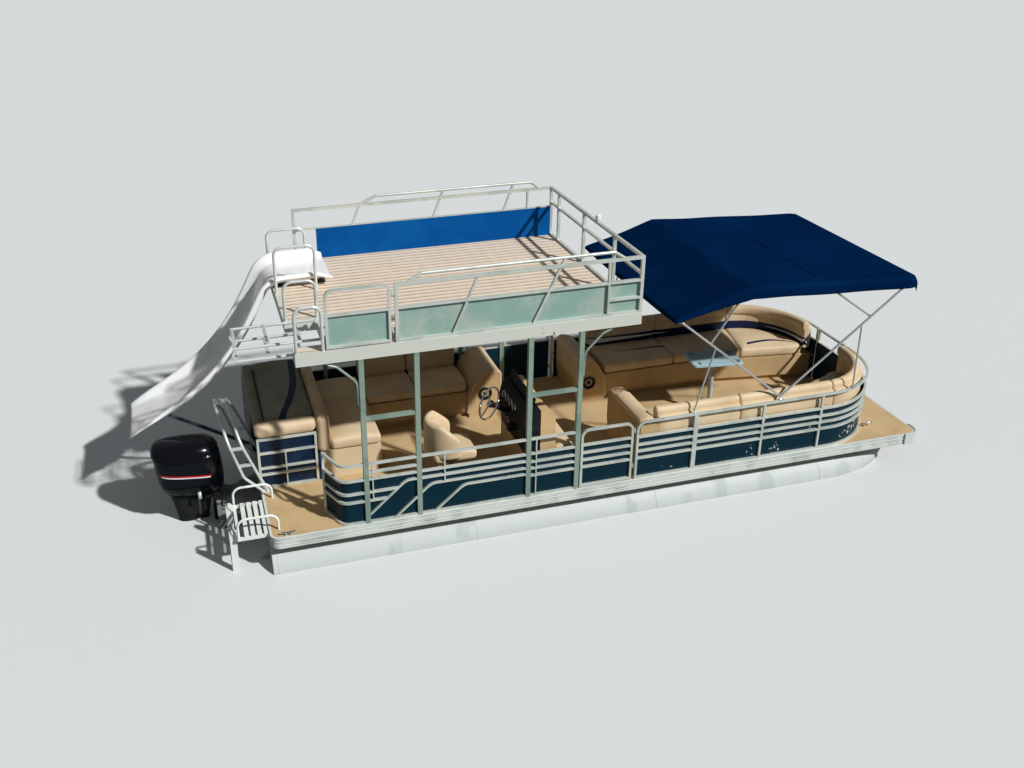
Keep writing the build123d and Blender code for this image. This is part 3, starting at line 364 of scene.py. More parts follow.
@dataclass(frozen=True)
class SoftSection:
    """A rounded rectangle whose size may change from station to station.

    Each point holds a share of the half width and half height, and the direction in which
    the corner's radius is added: point = share * (half - radius) + direction * radius. The
    fields are the steps along its level sides, along its upright sides and round its corners.
    """

    flat: int = 10
    wall: int = 4
    corner: int = 4

    def shares(self) -> tuple[np.ndarray, np.ndarray]:
        """Goes round the section from its lower corner at the near rail.

        Returns:
            The shares and the directions of its points, each shaped (n, 2).
        """
        share, normal = [], []
        runs = (
            (self.flat, (-1, -1), (1, -1), -90),
            (self.wall, (1, -1), (1, 1), 0),
            (self.flat, (1, 1), (-1, 1), 90),
            (self.wall, (-1, 1), (-1, -1), 180),
        )
        for count, start, end, facing in runs:
            t = np.linspace(0, 1, count + 1)[:, None]
            share.append(np.array(start) * (1 - t) + np.array(end) * t)
            outward = (math.cos(math.radians(facing)), math.sin(math.radians(facing)))
            normal.append(np.tile(outward, (count + 1, 1)))
            bend = np.radians(facing + np.linspace(0, 90, self.corner + 1)[1:-1])
            share.append(np.tile(np.array(end, float), (len(bend), 1)))
            normal.append(np.column_stack((np.cos(bend), np.sin(bend))))
        return np.vstack(share), np.vstack(normal)


@dataclass
class SoftBody:
    """A padded body along two rails at height 0: its width runs from one rail to the other.

    The ends are rounded by drawing the section in by end - sqrt(end^2 - (end - d)^2) at a
    distance d from the end. The top is crowned by crown * (1 - share^2) across its width. The
    pattern starts at start, so that cushions in a row share one map.
    """

    near: np.ndarray
    far: np.ndarray
    low: np.ndarray | float
    high: np.ndarray | float
    radius: float = 0.035
    crown: float = 0.01
    end: float = 0.03
    start: float = 0.0
    section: SoftSection = field(default_factory=SoftSection)

    def stations(self, total: float) -> np.ndarray:
        """The distances at which the body has a section, closer together at its ends.

        Args:
            total: the body's length.

        Returns:
            The distances, rising from 0 to the length.
        """
        bend = self.end * (1 - np.cos(np.linspace(0, np.pi / 2, 5)))
        share = np.linspace(0, 1, max(3, int(total / STATION)) + 1)[1:-1]
        return np.concatenate((bend, share * (total - 2 * self.end) + self.end, total - bend[::-1]))

    def form(self) -> Form:
        """The closed body.

        Returns:
            A form whose pattern runs along the rails and once round the section.
        """
        run = lengths((self.near + self.far) / 2)
        stations = self.stations(run[-1])
        depth = np.clip(self.end - np.minimum(stations, run[-1] - stations), 0, self.end)
        drawn = self.end - np.sqrt(np.maximum(self.end**2 - depth**2, 0))
        near, far = (
            np.column_stack([np.interp(stations, run, rail[:, axis]) for axis in range(3)])
            for rail in (self.near, self.far)
        )
        low = np.interp(stations, run, np.broadcast_to(self.low, run.shape))
        high = np.interp(stations, run, np.broadcast_to(self.high, run.shape))
        across = far - near
        width = np.linalg.norm(across, axis=1)
        across = across / width[:, None]
        half_width = np.maximum(width / 2 - drawn, THINNEST)
        half_height = np.maximum((high - low) / 2 - drawn, THINNEST)
        radius = np.minimum(self.radius, np.minimum(half_width, half_height) * 0.98)
        share, normal = self.section.shares()
        a = share[:, 0] * (half_width - radius)[:, None] + normal[:, 0] * radius[:, None]
        h = share[:, 1] * (half_height - radius)[:, None] + normal[:, 1] * radius[:, None]
        on_top = share[:, 1] > 0.5
        fade = np.clip(half_height / 0.03, 0, 1)[:, None]
        lift = self.crown * (1 - share[:, 0] ** 2) * on_top * fade
        points = ((near + far) / 2)[:, None] + across[:, None] * a[..., None]
        points[..., 2] += ((low + high) / 2)[:, None] + h + lift
        ring = np.column_stack((share[:, 0] * half_width.max(), share[:, 1] * half_height.max()))
        around = lengths(np.vstack((ring, ring[:1])))
        along = self.start + stations
        return grid_form(points, close_round=True, along=along, around=around / around[-1], caps=True)


def add_piece(
    name: str, form: Form, finish: bpy.types.Material, body: str = "hull", smooth: float = 40.0
) -> bpy.types.Object:
    """Makes a finished object from a form and lets it ride on a body.

    Args:
        name: the piece's name.
        form: its surface in deck coordinates.
        finish: its material.
        body: the body that it moves with.
        smooth: the angle in degrees past which an edge stays sharp.

    Returns:
        The new object.
    """
    mesh = bpy.data.meshes.new(name)
    mesh.from_pydata((form.points + SHIFT).tolist(), [], form.faces)
    layer = mesh.uv_layers.new(name="Pattern")
    layer.data.foreach_set("uv", form.places.astype(np.float32).ravel())
    mesh.materials.append(finish)
    work = bmesh.new()
    work.from_mesh(mesh)
    bmesh.ops.recalc_face_normals(work, faces=work.faces)
    work.to_mesh(mesh)
    work.free()
    mesh.shade_smooth()
    mesh.set_sharp_from_angle(angle=math.radians(smooth))
    piece = bpy.data.objects.new(name, mesh)
    bpy.context.scene.collection.objects.link(piece)
    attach(piece, body)
    LOG.info("%s: %d faces on %s", name, len(mesh.polygons), body)
    return piece


def thicken(piece: bpy.types.Object, thickness: float) -> None:
    """Gives an open sheet its wall, half of it on each side, with a Solidify modifier.

    Args:
        piece: the sheet.
        thickness: the wall's thickness, in metres.
    """
    wall = piece.modifiers.new("Wall", "SOLIDIFY")
    wall.thickness = thickness
    wall.offset = 0.0


def inflate(piece: bpy.types.Object, held: np.ndarray, cap: float) -> None:
    """Fills a padded piece with Cloth under pressure and keeps the result in its mesh.

    Args:
        piece: a closed mesh.
        held: how firmly each point is held, 0 free and 1 fixed.
        cap: how far a point may move, in metres.
    """
    mesh = piece.data
    before = np.zeros(len(mesh.vertices) * 3, np.float32)
    mesh.vertices.foreach_get("co", before)
    group = piece.vertex_groups.new(name="held")
    for value in np.unique(held[held > 0]):
        group.add(np.flatnonzero(held == value).tolist(), float(value), "REPLACE")
    cloth = piece.modifiers.new("Filling", "CLOTH")
    cloth.settings.quality = 4
    cloth.settings.mass = 0.4
    cloth.settings.use_pressure = True
    cloth.settings.uniform_pressure_force = 4.0
    cloth.settings.tension_stiffness = 30
    cloth.settings.compression_stiffness = 30
    cloth.settings.vertex_group_mass = "held"
    cloth.settings.effector_weights.gravity = 0
    cloth.collision_settings.use_collision = False
    cloth.point_cache.frame_start = 1
    cloth.point_cache.frame_end = FILL_FRAMES
    scene = bpy.context.scene
    for frame in range(1, FILL_FRAMES + 1):
        scene.frame_set(frame)
    filled = piece.evaluated_get(bpy.context.evaluated_depsgraph_get()).data
    after = np.zeros(len(filled.vertices) * 3, np.float32)
    filled.vertices.foreach_get("co", after)
    step = (after - before).reshape(-1, 3)
    far = np.linalg.norm(step, axis=1, keepdims=True)
    step = step * np.minimum(1.0, cap / np.maximum(far, TINY))
    piece.modifiers.remove(cloth)
    piece.vertex_groups.remove(group)
    mesh.vertices.foreach_set("co", before + step.ravel())
    mesh.update()
    scene.frame_set(1)


class Graph:
    """Adds nodes and links to one node tree.

    The Mix node's colour sockets are taken by number, because its number sockets bear their names.
    """

    MIX_COLOURS = (6, 7)
    MIX_RESULT = 2

    def __init__(self, tree: bpy.types.NodeTree) -> None:
        """Keeps the tree to build in."""
        self.tree = tree

    def feed(self, value: object, socket: Socket) -> None:
        """Links an input socket to another socket, or sets it to a plain value.

        Args:
            value: the other socket or the value.
            socket: the input socket.
        """
        if isinstance(value, Socket):
            self.tree.links.new(value, socket)
        else:
            socket.default_value = value

    def add(
        self, kind: str, values: dict[str | int, object] | None = None, **settings: object
    ) -> bpy.types.Node:
        """Adds a node, sets its properties and its input sockets.

        Args:
            kind: the node's type without its prefix.
            values: input socket values by name or number; a socket is linked.
            settings: properties of the node.

        Returns:
            The new node.
        """
        node = self.tree.nodes.new("ShaderNode" + kind)
        for key, value in settings.items():
            setattr(node, key, value)
        for key, value in (values or {}).items():
            self.feed(value, node.inputs[key])
        return node

    def math(self, operation: str, a: Value, b: Value = 0.0) -> Socket:
        """One number worked out from two."""
        return self.add("Math", {0: a, 1: b}, operation=operation).outputs[0]

    def ramp(self, factor: Value, low: float, high: float, first: float = 0.0, last: float = 1.0) -> Socket:
        """A smooth step of a number, from first at low to last at high."""
        values = {"Value": factor, "From Min": low, "From Max": high, "To Min": first, "To Max": last}
        return self.add("MapRange", values, interpolation_type="SMOOTHSTEP").outputs["Result"]

    def mix(self, factor: Value, first: Socket | Rgb, second: Socket | Rgb) -> Socket:
        """One colour mixed into another.

        Args:
            factor: 0 for the first colour and 1 for the second.
            first, second: the colours, as sockets or as linear values.

        Returns:
            The mixed colour.
        """
        node = self.add("Mix", {0: factor}, data_type="RGBA")
        for place, value in zip(self.MIX_COLOURS, (first, second)):
            self.feed(value if isinstance(value, Socket) else (*value, 1.0), node.inputs[place])
        return node.outputs[self.MIX_RESULT]

    def noise(self, at: Socket, scale: Value, detail: float, rough: float = 0.5) -> Socket:
        """Cloudy noise about a half."""
        values = {"Vector": at, "Scale": scale, "Detail": detail, "Roughness": rough}
        return self.add("TexNoise", values).outputs[0]

    def drawn(self, at: Socket, scale: Point) -> Socket:
        """Coordinates that draw a pattern out where their scale is below 1."""
        return self.add("Mapping", {"Vector": at, "Scale": scale}).outputs[0]

    def parts(self, at: Socket) -> tuple[Socket, Socket, Socket]:
        """The three parts of a vector."""
        return tuple(self.add("SeparateXYZ", {0: at}).outputs)

    def wave(self, along: Socket, pitch: Value) -> Socket:
        """A wave that repeats every pitch: sin(2 pi along / pitch)."""
        turns = self.math("DIVIDE", along, pitch)
        return self.math("SINE", self.math("MULTIPLY", turns, 2 * math.pi))


@dataclass
class Surface:
    """A surface pattern under construction: its graph, Object coordinates and scale or pitch.

    Each method puts the pattern's nodes in the graph and returns its height and its mask.
    """

    graph: Graph
    at: Socket
    size: Socket

    def grain(self) -> Sockets:
        """Vinyl grain: small cells for height, and a slow mottle as a mask."""
        cells = self.graph.add("TexVoronoi", {"Vector": self.at, "Scale": self.size}, feature="SMOOTH_F1")
        return cells.outputs["Distance"], self.graph.noise(self.at, 3.0, 4.0)

    def pile(self) -> Sockets:
        """Carpet: tufts as fine noise, and trodden patches as a mask."""
        return self.graph.noise(self.at, self.size, 2.0), self.graph.noise(self.at, 2.2, 6.0, 0.6)

    def ribs(self) -> Sockets:
        """Woven flooring: ribs side by side along the boat, whose colour is broken by stains.

        Returns:
            The ribs' wave, and the same wave cut up by stains and by fine cross seams.
        """
        graph = self.graph
        forward, port, _ = graph.parts(self.at)
        rib = graph.wave(port, self.size)
        seam = graph.math("SINE", graph.math("MULTIPLY", forward, 40.0))
        stains = graph.math("SUBTRACT", graph.noise(self.at, 3.0, 6.0, 0.65), 0.5)
        level = graph.math("ADD", graph.math("MULTIPLY", stains, 1.1), rib)
        level = graph.math("ADD", level, graph.math("MULTIPLY", seam, 0.12))
        return rib, graph.ramp(level, 0.1, 0.9)

    def weave(self) -> Sockets:
        """Canvas: two crossed sets of threads.

        Returns:
            The product of the two waves, and faded patches.
        """
        graph = self.graph
        forward, port, _ = graph.parts(self.at)
        rate = graph.math("DIVIDE", 2 * math.pi, self.size)
        warp = graph.math("SINE", graph.math("MULTIPLY", forward, rate))
        weft = graph.math("SINE", graph.math("MULTIPLY", port, rate))
        return graph.math("MULTIPLY", warp, weft), graph.noise(self.at, 1.6, 5.0)

    def streaks(self) -> Sockets:
        """Weather marks: noise drawn out down the surface, over a slow ripple."""
        long = self.graph.noise(self.graph.drawn(self.at, (1.0, 1.0, 0.12)), self.size, 5.0)
        return self.graph.noise(self.at, 1.3, 2.0), self.graph.ramp(long, 0.45, 0.75)

    def scuffs(self) -> Sockets:
        """Scuffed metal: fine lines along the boat for height, and a cloudy mask."""
        lines = self.graph.noise(self.graph.drawn(self.at, (0.06, 1.0, 1.0)), self.size, 3.0)
        return lines, self.graph.ramp(self.graph.noise(self.at, 2.6, 6.0, 0.62), 0.35, 0.7)

    def chips(self) -> Sockets:
        """Chipped paint: small ragged flakes, scattered more thickly towards the bow.

        Returns:
            The flakes' noise, and a sharp cut of it whose level rises in worn fields.
        """
        graph = self.graph
        flakes = graph.noise(self.at, self.size, 6.0, 0.7)
        fields = graph.ramp(graph.noise(self.at, 3.1, 2.0), 0.52, 0.66)
        bow = graph.ramp(graph.parts(self.at)[0], -0.8, 2.6)
        worn = graph.math("MULTIPLY", graph.math("MULTIPLY", fields, bow), 0.14)
        return flakes, graph.ramp(graph.math("ADD", flakes, worn), 0.70, 0.72)

    def rust(self) -> Sockets:
        """Rusty spots that run a little down the surface.

        Returns:
            The spots' noise, and a cut of it whose level rises where a slow cloud is thick.
        """
        graph = self.graph
        spots = graph.noise(graph.drawn(self.at, (1.0, 1.0, 0.45)), self.size, 7.0, 0.7)
        cloud = graph.ramp(graph.noise(self.at, 1.7, 3.0), 0.45, 0.7)
        level = graph.math("ADD", spots, graph.math("MULTIPLY", cloud, 0.08))
        return spots, graph.ramp(level, 0.66, 0.72)

    def flutes(self) -> Sockets:
        """Extruded flutes: level grooves one above the other.

        Returns:
            The grooves' wave, and a mask that darkens their bottoms as painted shade, broken by random grime.
        """
        graph = self.graph
        groove = graph.wave(graph.parts(self.at)[2], self.size)
        grime = graph.noise(self.at, 5.0, 6.0)
        # the grooves' bottoms are darkened as painted shade, with random grime noise over it
        level = graph.math("ADD", graph.math("MULTIPLY", groove, -0.25), grime)
        return groove, graph.ramp(level, 0.55, 0.9)


class Pattern(Enum):
    """The surface patterns that the finishes share, by the names of their groups."""

    GRAIN = "fine grain"
    PILE = "carpet pile"
    RIBS = "woven ribs"
    WEAVE = "canvas weave"
    STREAKS = "weather streaks"
    SCUFFS = "scuffed metal"
    CHIPS = "chipped paint"
    RUST = "rusty runs"
    FLUTES = "moulded flutes"

    def group(self) -> bpy.types.NodeTree:
        """The pattern's node group, built the first time that it is asked for.

        Returns:
            A group that takes Object coordinates and a scale or a pitch, and puts out the
            pattern's height and its mask.
        """
        made = bpy.data.node_groups.get(self.value)
        if made is not None:
            return made
        build, size, usual = PATTERNS[self]
        group = bpy.data.node_groups.new(self.value, "ShaderNodeTree")
        group.interface.new_socket("Vector", in_out="INPUT", socket_type="NodeSocketVector")
        number = group.interface.new_socket(size, in_out="INPUT", socket_type="NodeSocketFloat")
        number.default_value = usual
        given = group.nodes.new("NodeGroupInput").outputs
        results = build(Surface(Graph(group), given["Vector"], given[size]))
        for key in ("Height", "Mask"):
            group.interface.new_socket(key, in_out="OUTPUT", socket_type="NodeSocketFloat")
        sink = group.nodes.new("NodeGroupOutput")
        for key, socket in zip(("Height", "Mask"), results):
            group.links.new(socket, sink.inputs[key])
        return group


PATTERNS: dict[Pattern, tuple[Callable[[Surface], Sockets], str, float]] = {
    Pattern.GRAIN: (Surface.grain, "Scale", 220.0),
    Pattern.PILE: (Surface.pile, "Scale", 180.0),
    Pattern.RIBS: (Surface.ribs, "Pitch", 0.05),
    Pattern.WEAVE: (Surface.weave, "Pitch", 0.002),
    Pattern.STREAKS: (Surface.streaks, "Scale", 6.0),
    Pattern.SCUFFS: (Surface.scuffs, "Scale", 60.0),
    Pattern.CHIPS: (Surface.chips, "Scale", 30.0),
    Pattern.RUST: (Surface.rust, "Scale", 14.0),
    Pattern.FLUTES: (Surface.flutes, "Pitch", 0.02),
}


class Space(Enum):
    """What a stripe's two coordinates are: along it and across it."""

    PATTERN = "the run and the way round of the piece's own map"
    SIDE = "forward and up, in deck coordinates"
    PLAN = "to port and forward, in deck coordinates"

    def split(self, graph: Graph) -> Sockets:
        """Puts the nodes that read the two coordinates in a graph.

        Args:
            graph: the material's graph.

        Returns:
            The coordinate along the stripe and the one across it.
        """
        source = graph.add("TexCoord")
        if self is Space.PATTERN:
            along, across, _ = graph.parts(source.outputs["UV"])
            return along, across
        back = tuple(float(-part) for part in SHIFT)
        deck = graph.add("VectorMath", {0: source.outputs["Object"], 1: back}, operation="ADD")
        forward, port, up = graph.parts(deck.outputs[0])
        return (forward, up) if self is Space.SIDE else (port, forward)


@dataclass(frozen=True)
class Stripe:
    """A band of colour whose middle follows a bent line.

    The middle is centre + slope * along + bend * max(0, start - along)^2, half the width is
    half + widen * |along - start|, and it shows between first and last.
    """

    colour: Rgb
    centre: float
    half: float
    slope: float = 0.0
    bend: float = 0.0
    start: float = 0.0
    widen: float = 0.0
    first: float = -20.0
    last: float = 20.0

    def mask(self, graph: Graph, along: Socket, across: Socket) -> Socket:
        """Puts the stripe's nodes in a graph.

        Args:
            graph: the material's graph.
            along, across: the coordinates along the stripe and across it.

        Returns:
            1 inside the stripe and 0 outside it.
        """
        before = graph.math("MAXIMUM", graph.math("SUBTRACT", self.start, along), 0.0)
        middle = graph.math("MULTIPLY", graph.math("MULTIPLY", before, before), self.bend)
        middle = graph.math("ADD", middle, graph.math("MULTIPLY", along, self.slope))
        middle = graph.math("ADD", middle, self.centre)
        away = graph.math("ABSOLUTE", graph.math("SUBTRACT", across, middle))
        reach = graph.math("ABSOLUTE", graph.math("SUBTRACT", along, self.start))
        width = graph.math("ADD", graph.math("MULTIPLY", reach, self.widen), self.half)
        inside = graph.math("LESS_THAN", away, width)
        inside = graph.math("MULTIPLY", inside, graph.math("GREATER_THAN", along, self.first))
        return graph.math("MULTIPLY", inside, graph.math("LESS_THAN", along, self.last))


@dataclass(frozen=True)
class Finish:
    """One finish: its colours, gloss, surface pattern and stripes.

    The pattern's size is its scale or its pitch, and bump and depth are the strength and the
    distance of its relief. The second colour and a roughness higher by spread show where its
    mask passes from mask_low to mask_high.
    """

    name: str
    colour: Rgb
    second: Rgb
    pattern: Pattern
    size: float
    roughness: float
    metallic: float = 0.0
    bump: float = 0.1
    depth: float = 0.001
    mask_low: float = 0.35
    mask_high: float = 0.75
    coat: float = 0.0
    sheen: float = 0.0
    shine: float = 0.25
    spread: float = 0.08
    stripes: tuple[Stripe, ...] = ()
    space: Space = Space.PATTERN

    def material(self) -> bpy.types.Material:
        """The finish as a material, built the first time that it is asked for.

        Returns:
            A material whose colour and roughness follow the pattern's mask, whose stripes lie
            over that, and whose normal follows the pattern's height.
        """
        label = f"{self.name}_look"
        made = bpy.data.materials.get(label)
        if made is not None:
            return made
        material = bpy.data.materials.new(label)
        material.use_nodes = True
        graph = Graph(material.node_tree)
        shader = material.node_tree.nodes["Principled BSDF"].inputs
        shader["Metallic"].default_value = self.metallic
        shader["Coat Weight"].default_value = self.coat
        shader["Sheen Weight"].default_value = self.sheen
        shader["Specular IOR Level"].default_value = self.shine
        node = graph.add("Group", node_tree=self.pattern.group())
        graph.feed(graph.add("TexCoord").outputs["Object"], node.inputs["Vector"])
        graph.feed(self.size, node.inputs[1])
        mask = graph.ramp(node.outputs["Mask"], self.mask_low, self.mask_high)
        colour = graph.mix(mask, self.colour, self.second)
        if self.stripes:
            along, across = self.space.split(graph)
            for stripe in self.stripes:
                colour = graph.mix(stripe.mask(graph, along, across), colour, stripe.colour)
        graph.feed(colour, shader["Base Color"])
        roughest = min(1.0, self.roughness + self.spread)
        graph.feed(graph.ramp(mask, 0.0, 1.0, self.roughness, roughest), shader["Roughness"])
        if self.bump > 0:
            relief = {"Height": node.outputs["Height"], "Strength": self.bump, "Distance": self.depth}
            graph.feed(graph.add("Bump", relief).outputs[0], shader["Normal"])
        return material


NAVY = tint(8, 24, 66)
CHALK = tint(226, 226, 222)
COAL = tint(20, 21, 24)
BEIGE = (tint(210, 188, 154), tint(194, 170, 136))
# SHADED_BEIGE is painted shade: the seats' beige darkened as if under the upper deck's shadow
SHADED_BEIGE = (tint(138, 134, 118), tint(124, 120, 104))
VINYL = dict(pattern=Pattern.GRAIN, size=260.0, roughness=0.5, bump=0.2, depth=0.0006)
METAL = dict(pattern=Pattern.SCUFFS, size=90.0)
SHEET_METAL = dict(pattern=Pattern.SCUFFS, roughness=0.5, mask_low=0.0, mask_high=1.0)

BACKREST_STRIPES = (
    Stripe(NAVY, centre=0.25, half=0.095),
    Stripe(CHALK, centre=0.27, half=-0.034, start=2.25, widen=0.05),
)
SEAT_STRIPES = (
    Stripe(NAVY, centre=0.70, half=0.0, slope=-0.02, start=0.62, widen=0.028, first=0.62, last=1.32),
    Stripe(NAVY, centre=0.66, half=0.016, start=3.5, bend=-0.10, first=2.5, last=3.45),
)
SUN_PAD_STRIPE = Stripe(NAVY, centre=0.4825, half=0.038, slope=0.07, bend=-0.19, start=0.75)
LOCKER_FRONT = Stripe(BEIGE[0], centre=1.2, half=0.52)
CONSOLE_FACE = Stripe(COAL, centre=1.16, half=0.72, last=2.84)
CANOPY_SEAM = Stripe(tint(3, 14, 44), centre=6.013, half=0.009, first=-1.02, last=0.92)
COWL_STRIPES = (
    Stripe(CHALK, centre=0.112, half=0.007, slope=-0.111, first=-1.0, last=-0.5),
    Stripe(tint(190, 22, 30), centre=0.128, half=0.009, slope=-0.111, first=-1.03, last=-0.49),
)

FINISHES: dict[str, Finish] = {
    finish.name: finish
    for finish in (
        Finish(
            "float_paint", tint(186, 192, 188), tint(172, 180, 176), Pattern.STREAKS, 3.0, 0.5,
            bump=0.06, depth=0.01,
        ),
        Finish(
            "frame_aluminium", tint(176, 180, 178), tint(150, 155, 153), **METAL,
            roughness=0.42, metallic=0.5,
        ),
        Finish(
            "pod_aluminium", tint(170, 174, 172), tint(146, 150, 148), **METAL,
            roughness=0.4, metallic=0.5,
        ),
        Finish(
            "deck_carpet", tint(196, 168, 124), tint(176, 148, 106), Pattern.PILE, 240.0, 0.95,
            bump=0.5, sheen=0.1,
        ),
        # The trim's grey second colour is painted shade in the flutes' grooves, with some random grime
        Finish(
            "trim_cream", tint(202, 206, 200), tint(146, 156, 150), Pattern.FLUTES, 0.022, 0.45,
            bump=0.3, depth=0.003,
        ),
        Finish(
            "rail_aluminium", tint(208, 212, 204), tint(186, 194, 186), **METAL,
            roughness=0.36, metallic=0.3, bump=0.05,
        ),
        Finish(
            "post_aluminium", tint(146, 164, 150), tint(128, 148, 136), **METAL,
            roughness=0.4, metallic=0.25, bump=0.05,
        ),
        Finish(
            "panel_navy", tint(10, 40, 52), tint(190, 194, 190), Pattern.CHIPS, 30.0, 0.4,
            bump=0.03, shine=0.1,
        ),
        Finish(
            "locker_navy", tint(10, 32, 56), tint(18, 42, 66), **METAL,
            roughness=0.3, bump=0.03, stripes=(LOCKER_FRONT,), space=Space.PLAN,
        ),
        Finish(
            "upper_carpet", tint(222, 206, 187), tint(184, 166, 146), Pattern.RIBS, 0.09, 0.9,
            bump=0.4, depth=0.004,
        ),
        Finish("beam_white", tint(198, 200, 190), tint(140, 100, 66), Pattern.RUST, 14.0, 0.42, bump=0.05),
        Finish("panel_aqua", tint(132, 162, 152), tint(160, 174, 164), **SHEET_METAL, size=34.0, bump=0.06),
        Finish(
            "panel_blue", tint(2, 74, 140), tint(6, 84, 150), **SHEET_METAL,
            size=30.0, bump=0.05, shine=0.05,
        ),
        Finish(
            "polished_tube", tint(214, 220, 218), tint(196, 204, 202), **METAL,
            roughness=0.3, metallic=0.35, bump=0.02,
        ),
        Finish(
            "slide_white", tint(240, 240, 238), tint(230, 232, 232), Pattern.STREAKS, 4.0, 0.22,
            coat=0.3, bump=0.04, depth=0.01,
        ),
        Finish("support_grey", tint(72, 84, 88), tint(58, 66, 70), **METAL, roughness=0.5),
        Finish(
            "white_paint", tint(222, 225, 220), tint(196, 200, 194), Pattern.STREAKS, 12.0, 0.4,
            bump=0.04,
        ),
        Finish("pad_vinyl", *BEIGE, **VINYL),
        # pad_greige is painted shade: beige darkened for the sun pad's top and aft bolster, which lie in the
        # upper deck's shadow
        Finish("pad_greige", *SHADED_BEIGE, **VINYL, stripes=(SUN_PAD_STRIPE,), space=Space.PLAN),
        Finish("seat_vinyl", *BEIGE, **VINYL),
        Finish("striped_seat", *BEIGE, **VINYL, stripes=SEAT_STRIPES),
        Finish("striped_backrest", *BEIGE, **VINYL, stripes=BACKREST_STRIPES),
        Finish("couch_shell", tint(190, 162, 120), tint(174, 147, 106), Pattern.GRAIN, 200.0, 0.6, bump=0.15),
        Finish(
            "table_plastic", tint(170, 196, 200), tint(158, 184, 190), Pattern.GRAIN, 180.0, 0.3,
            bump=0.05,
        ),
        Finish(
            "console_shell", tint(202, 172, 126), tint(188, 158, 114), Pattern.GRAIN, 150.0, 0.42,
            stripes=(CONSOLE_FACE,), space=Space.SIDE,
        ),
        Finish(
            "wheel_chrome", tint(226, 228, 230), tint(210, 212, 214), **METAL,
            roughness=0.08, metallic=1.0, bump=0.01,
        ),
        Finish("engine_black", tint(22, 23, 26), tint(32, 33, 36), Pattern.SCUFFS, 40.0, 0.4, bump=0.05),
        Finish(
            "cowl_black", tint(5, 7, 12), tint(8, 10, 16), Pattern.STREAKS, 3.0, 0.16,
            coat=0.2, bump=0.0, stripes=COWL_STRIPES, space=Space.SIDE,
        ),
        Finish(
            "top_tube", tint(210, 214, 213), tint(190, 196, 195), **METAL,
            roughness=0.24, metallic=0.65, bump=0.02,
        ),
        Finish(
            "canopy_fabric", tint(2, 28, 62), tint(3, 34, 72), Pattern.WEAVE, 0.004, 0.9,
            bump=0.25, depth=0.0008, shine=0.0, stripes=(CANOPY_SEAM,), space=Space.PLAN,
        ),
        Finish("black_rubber", tint(24, 24, 25), tint(34, 34, 35), Pattern.GRAIN, 90.0, 0.7),
        Finish("dash_black", COAL, tint(28, 29, 32), Pattern.GRAIN, 120.0, 0.35),
        Finish(
            "lamp_lens", tint(236, 238, 234), tint(224, 226, 224), Pattern.GRAIN, 60.0, 0.15,
            coat=0.5, bump=0.0,
        ),
    )
}


def finish(name: str) -> bpy.types.Material:
    """The material of a named finish."""
    return FINISHES[name].material()


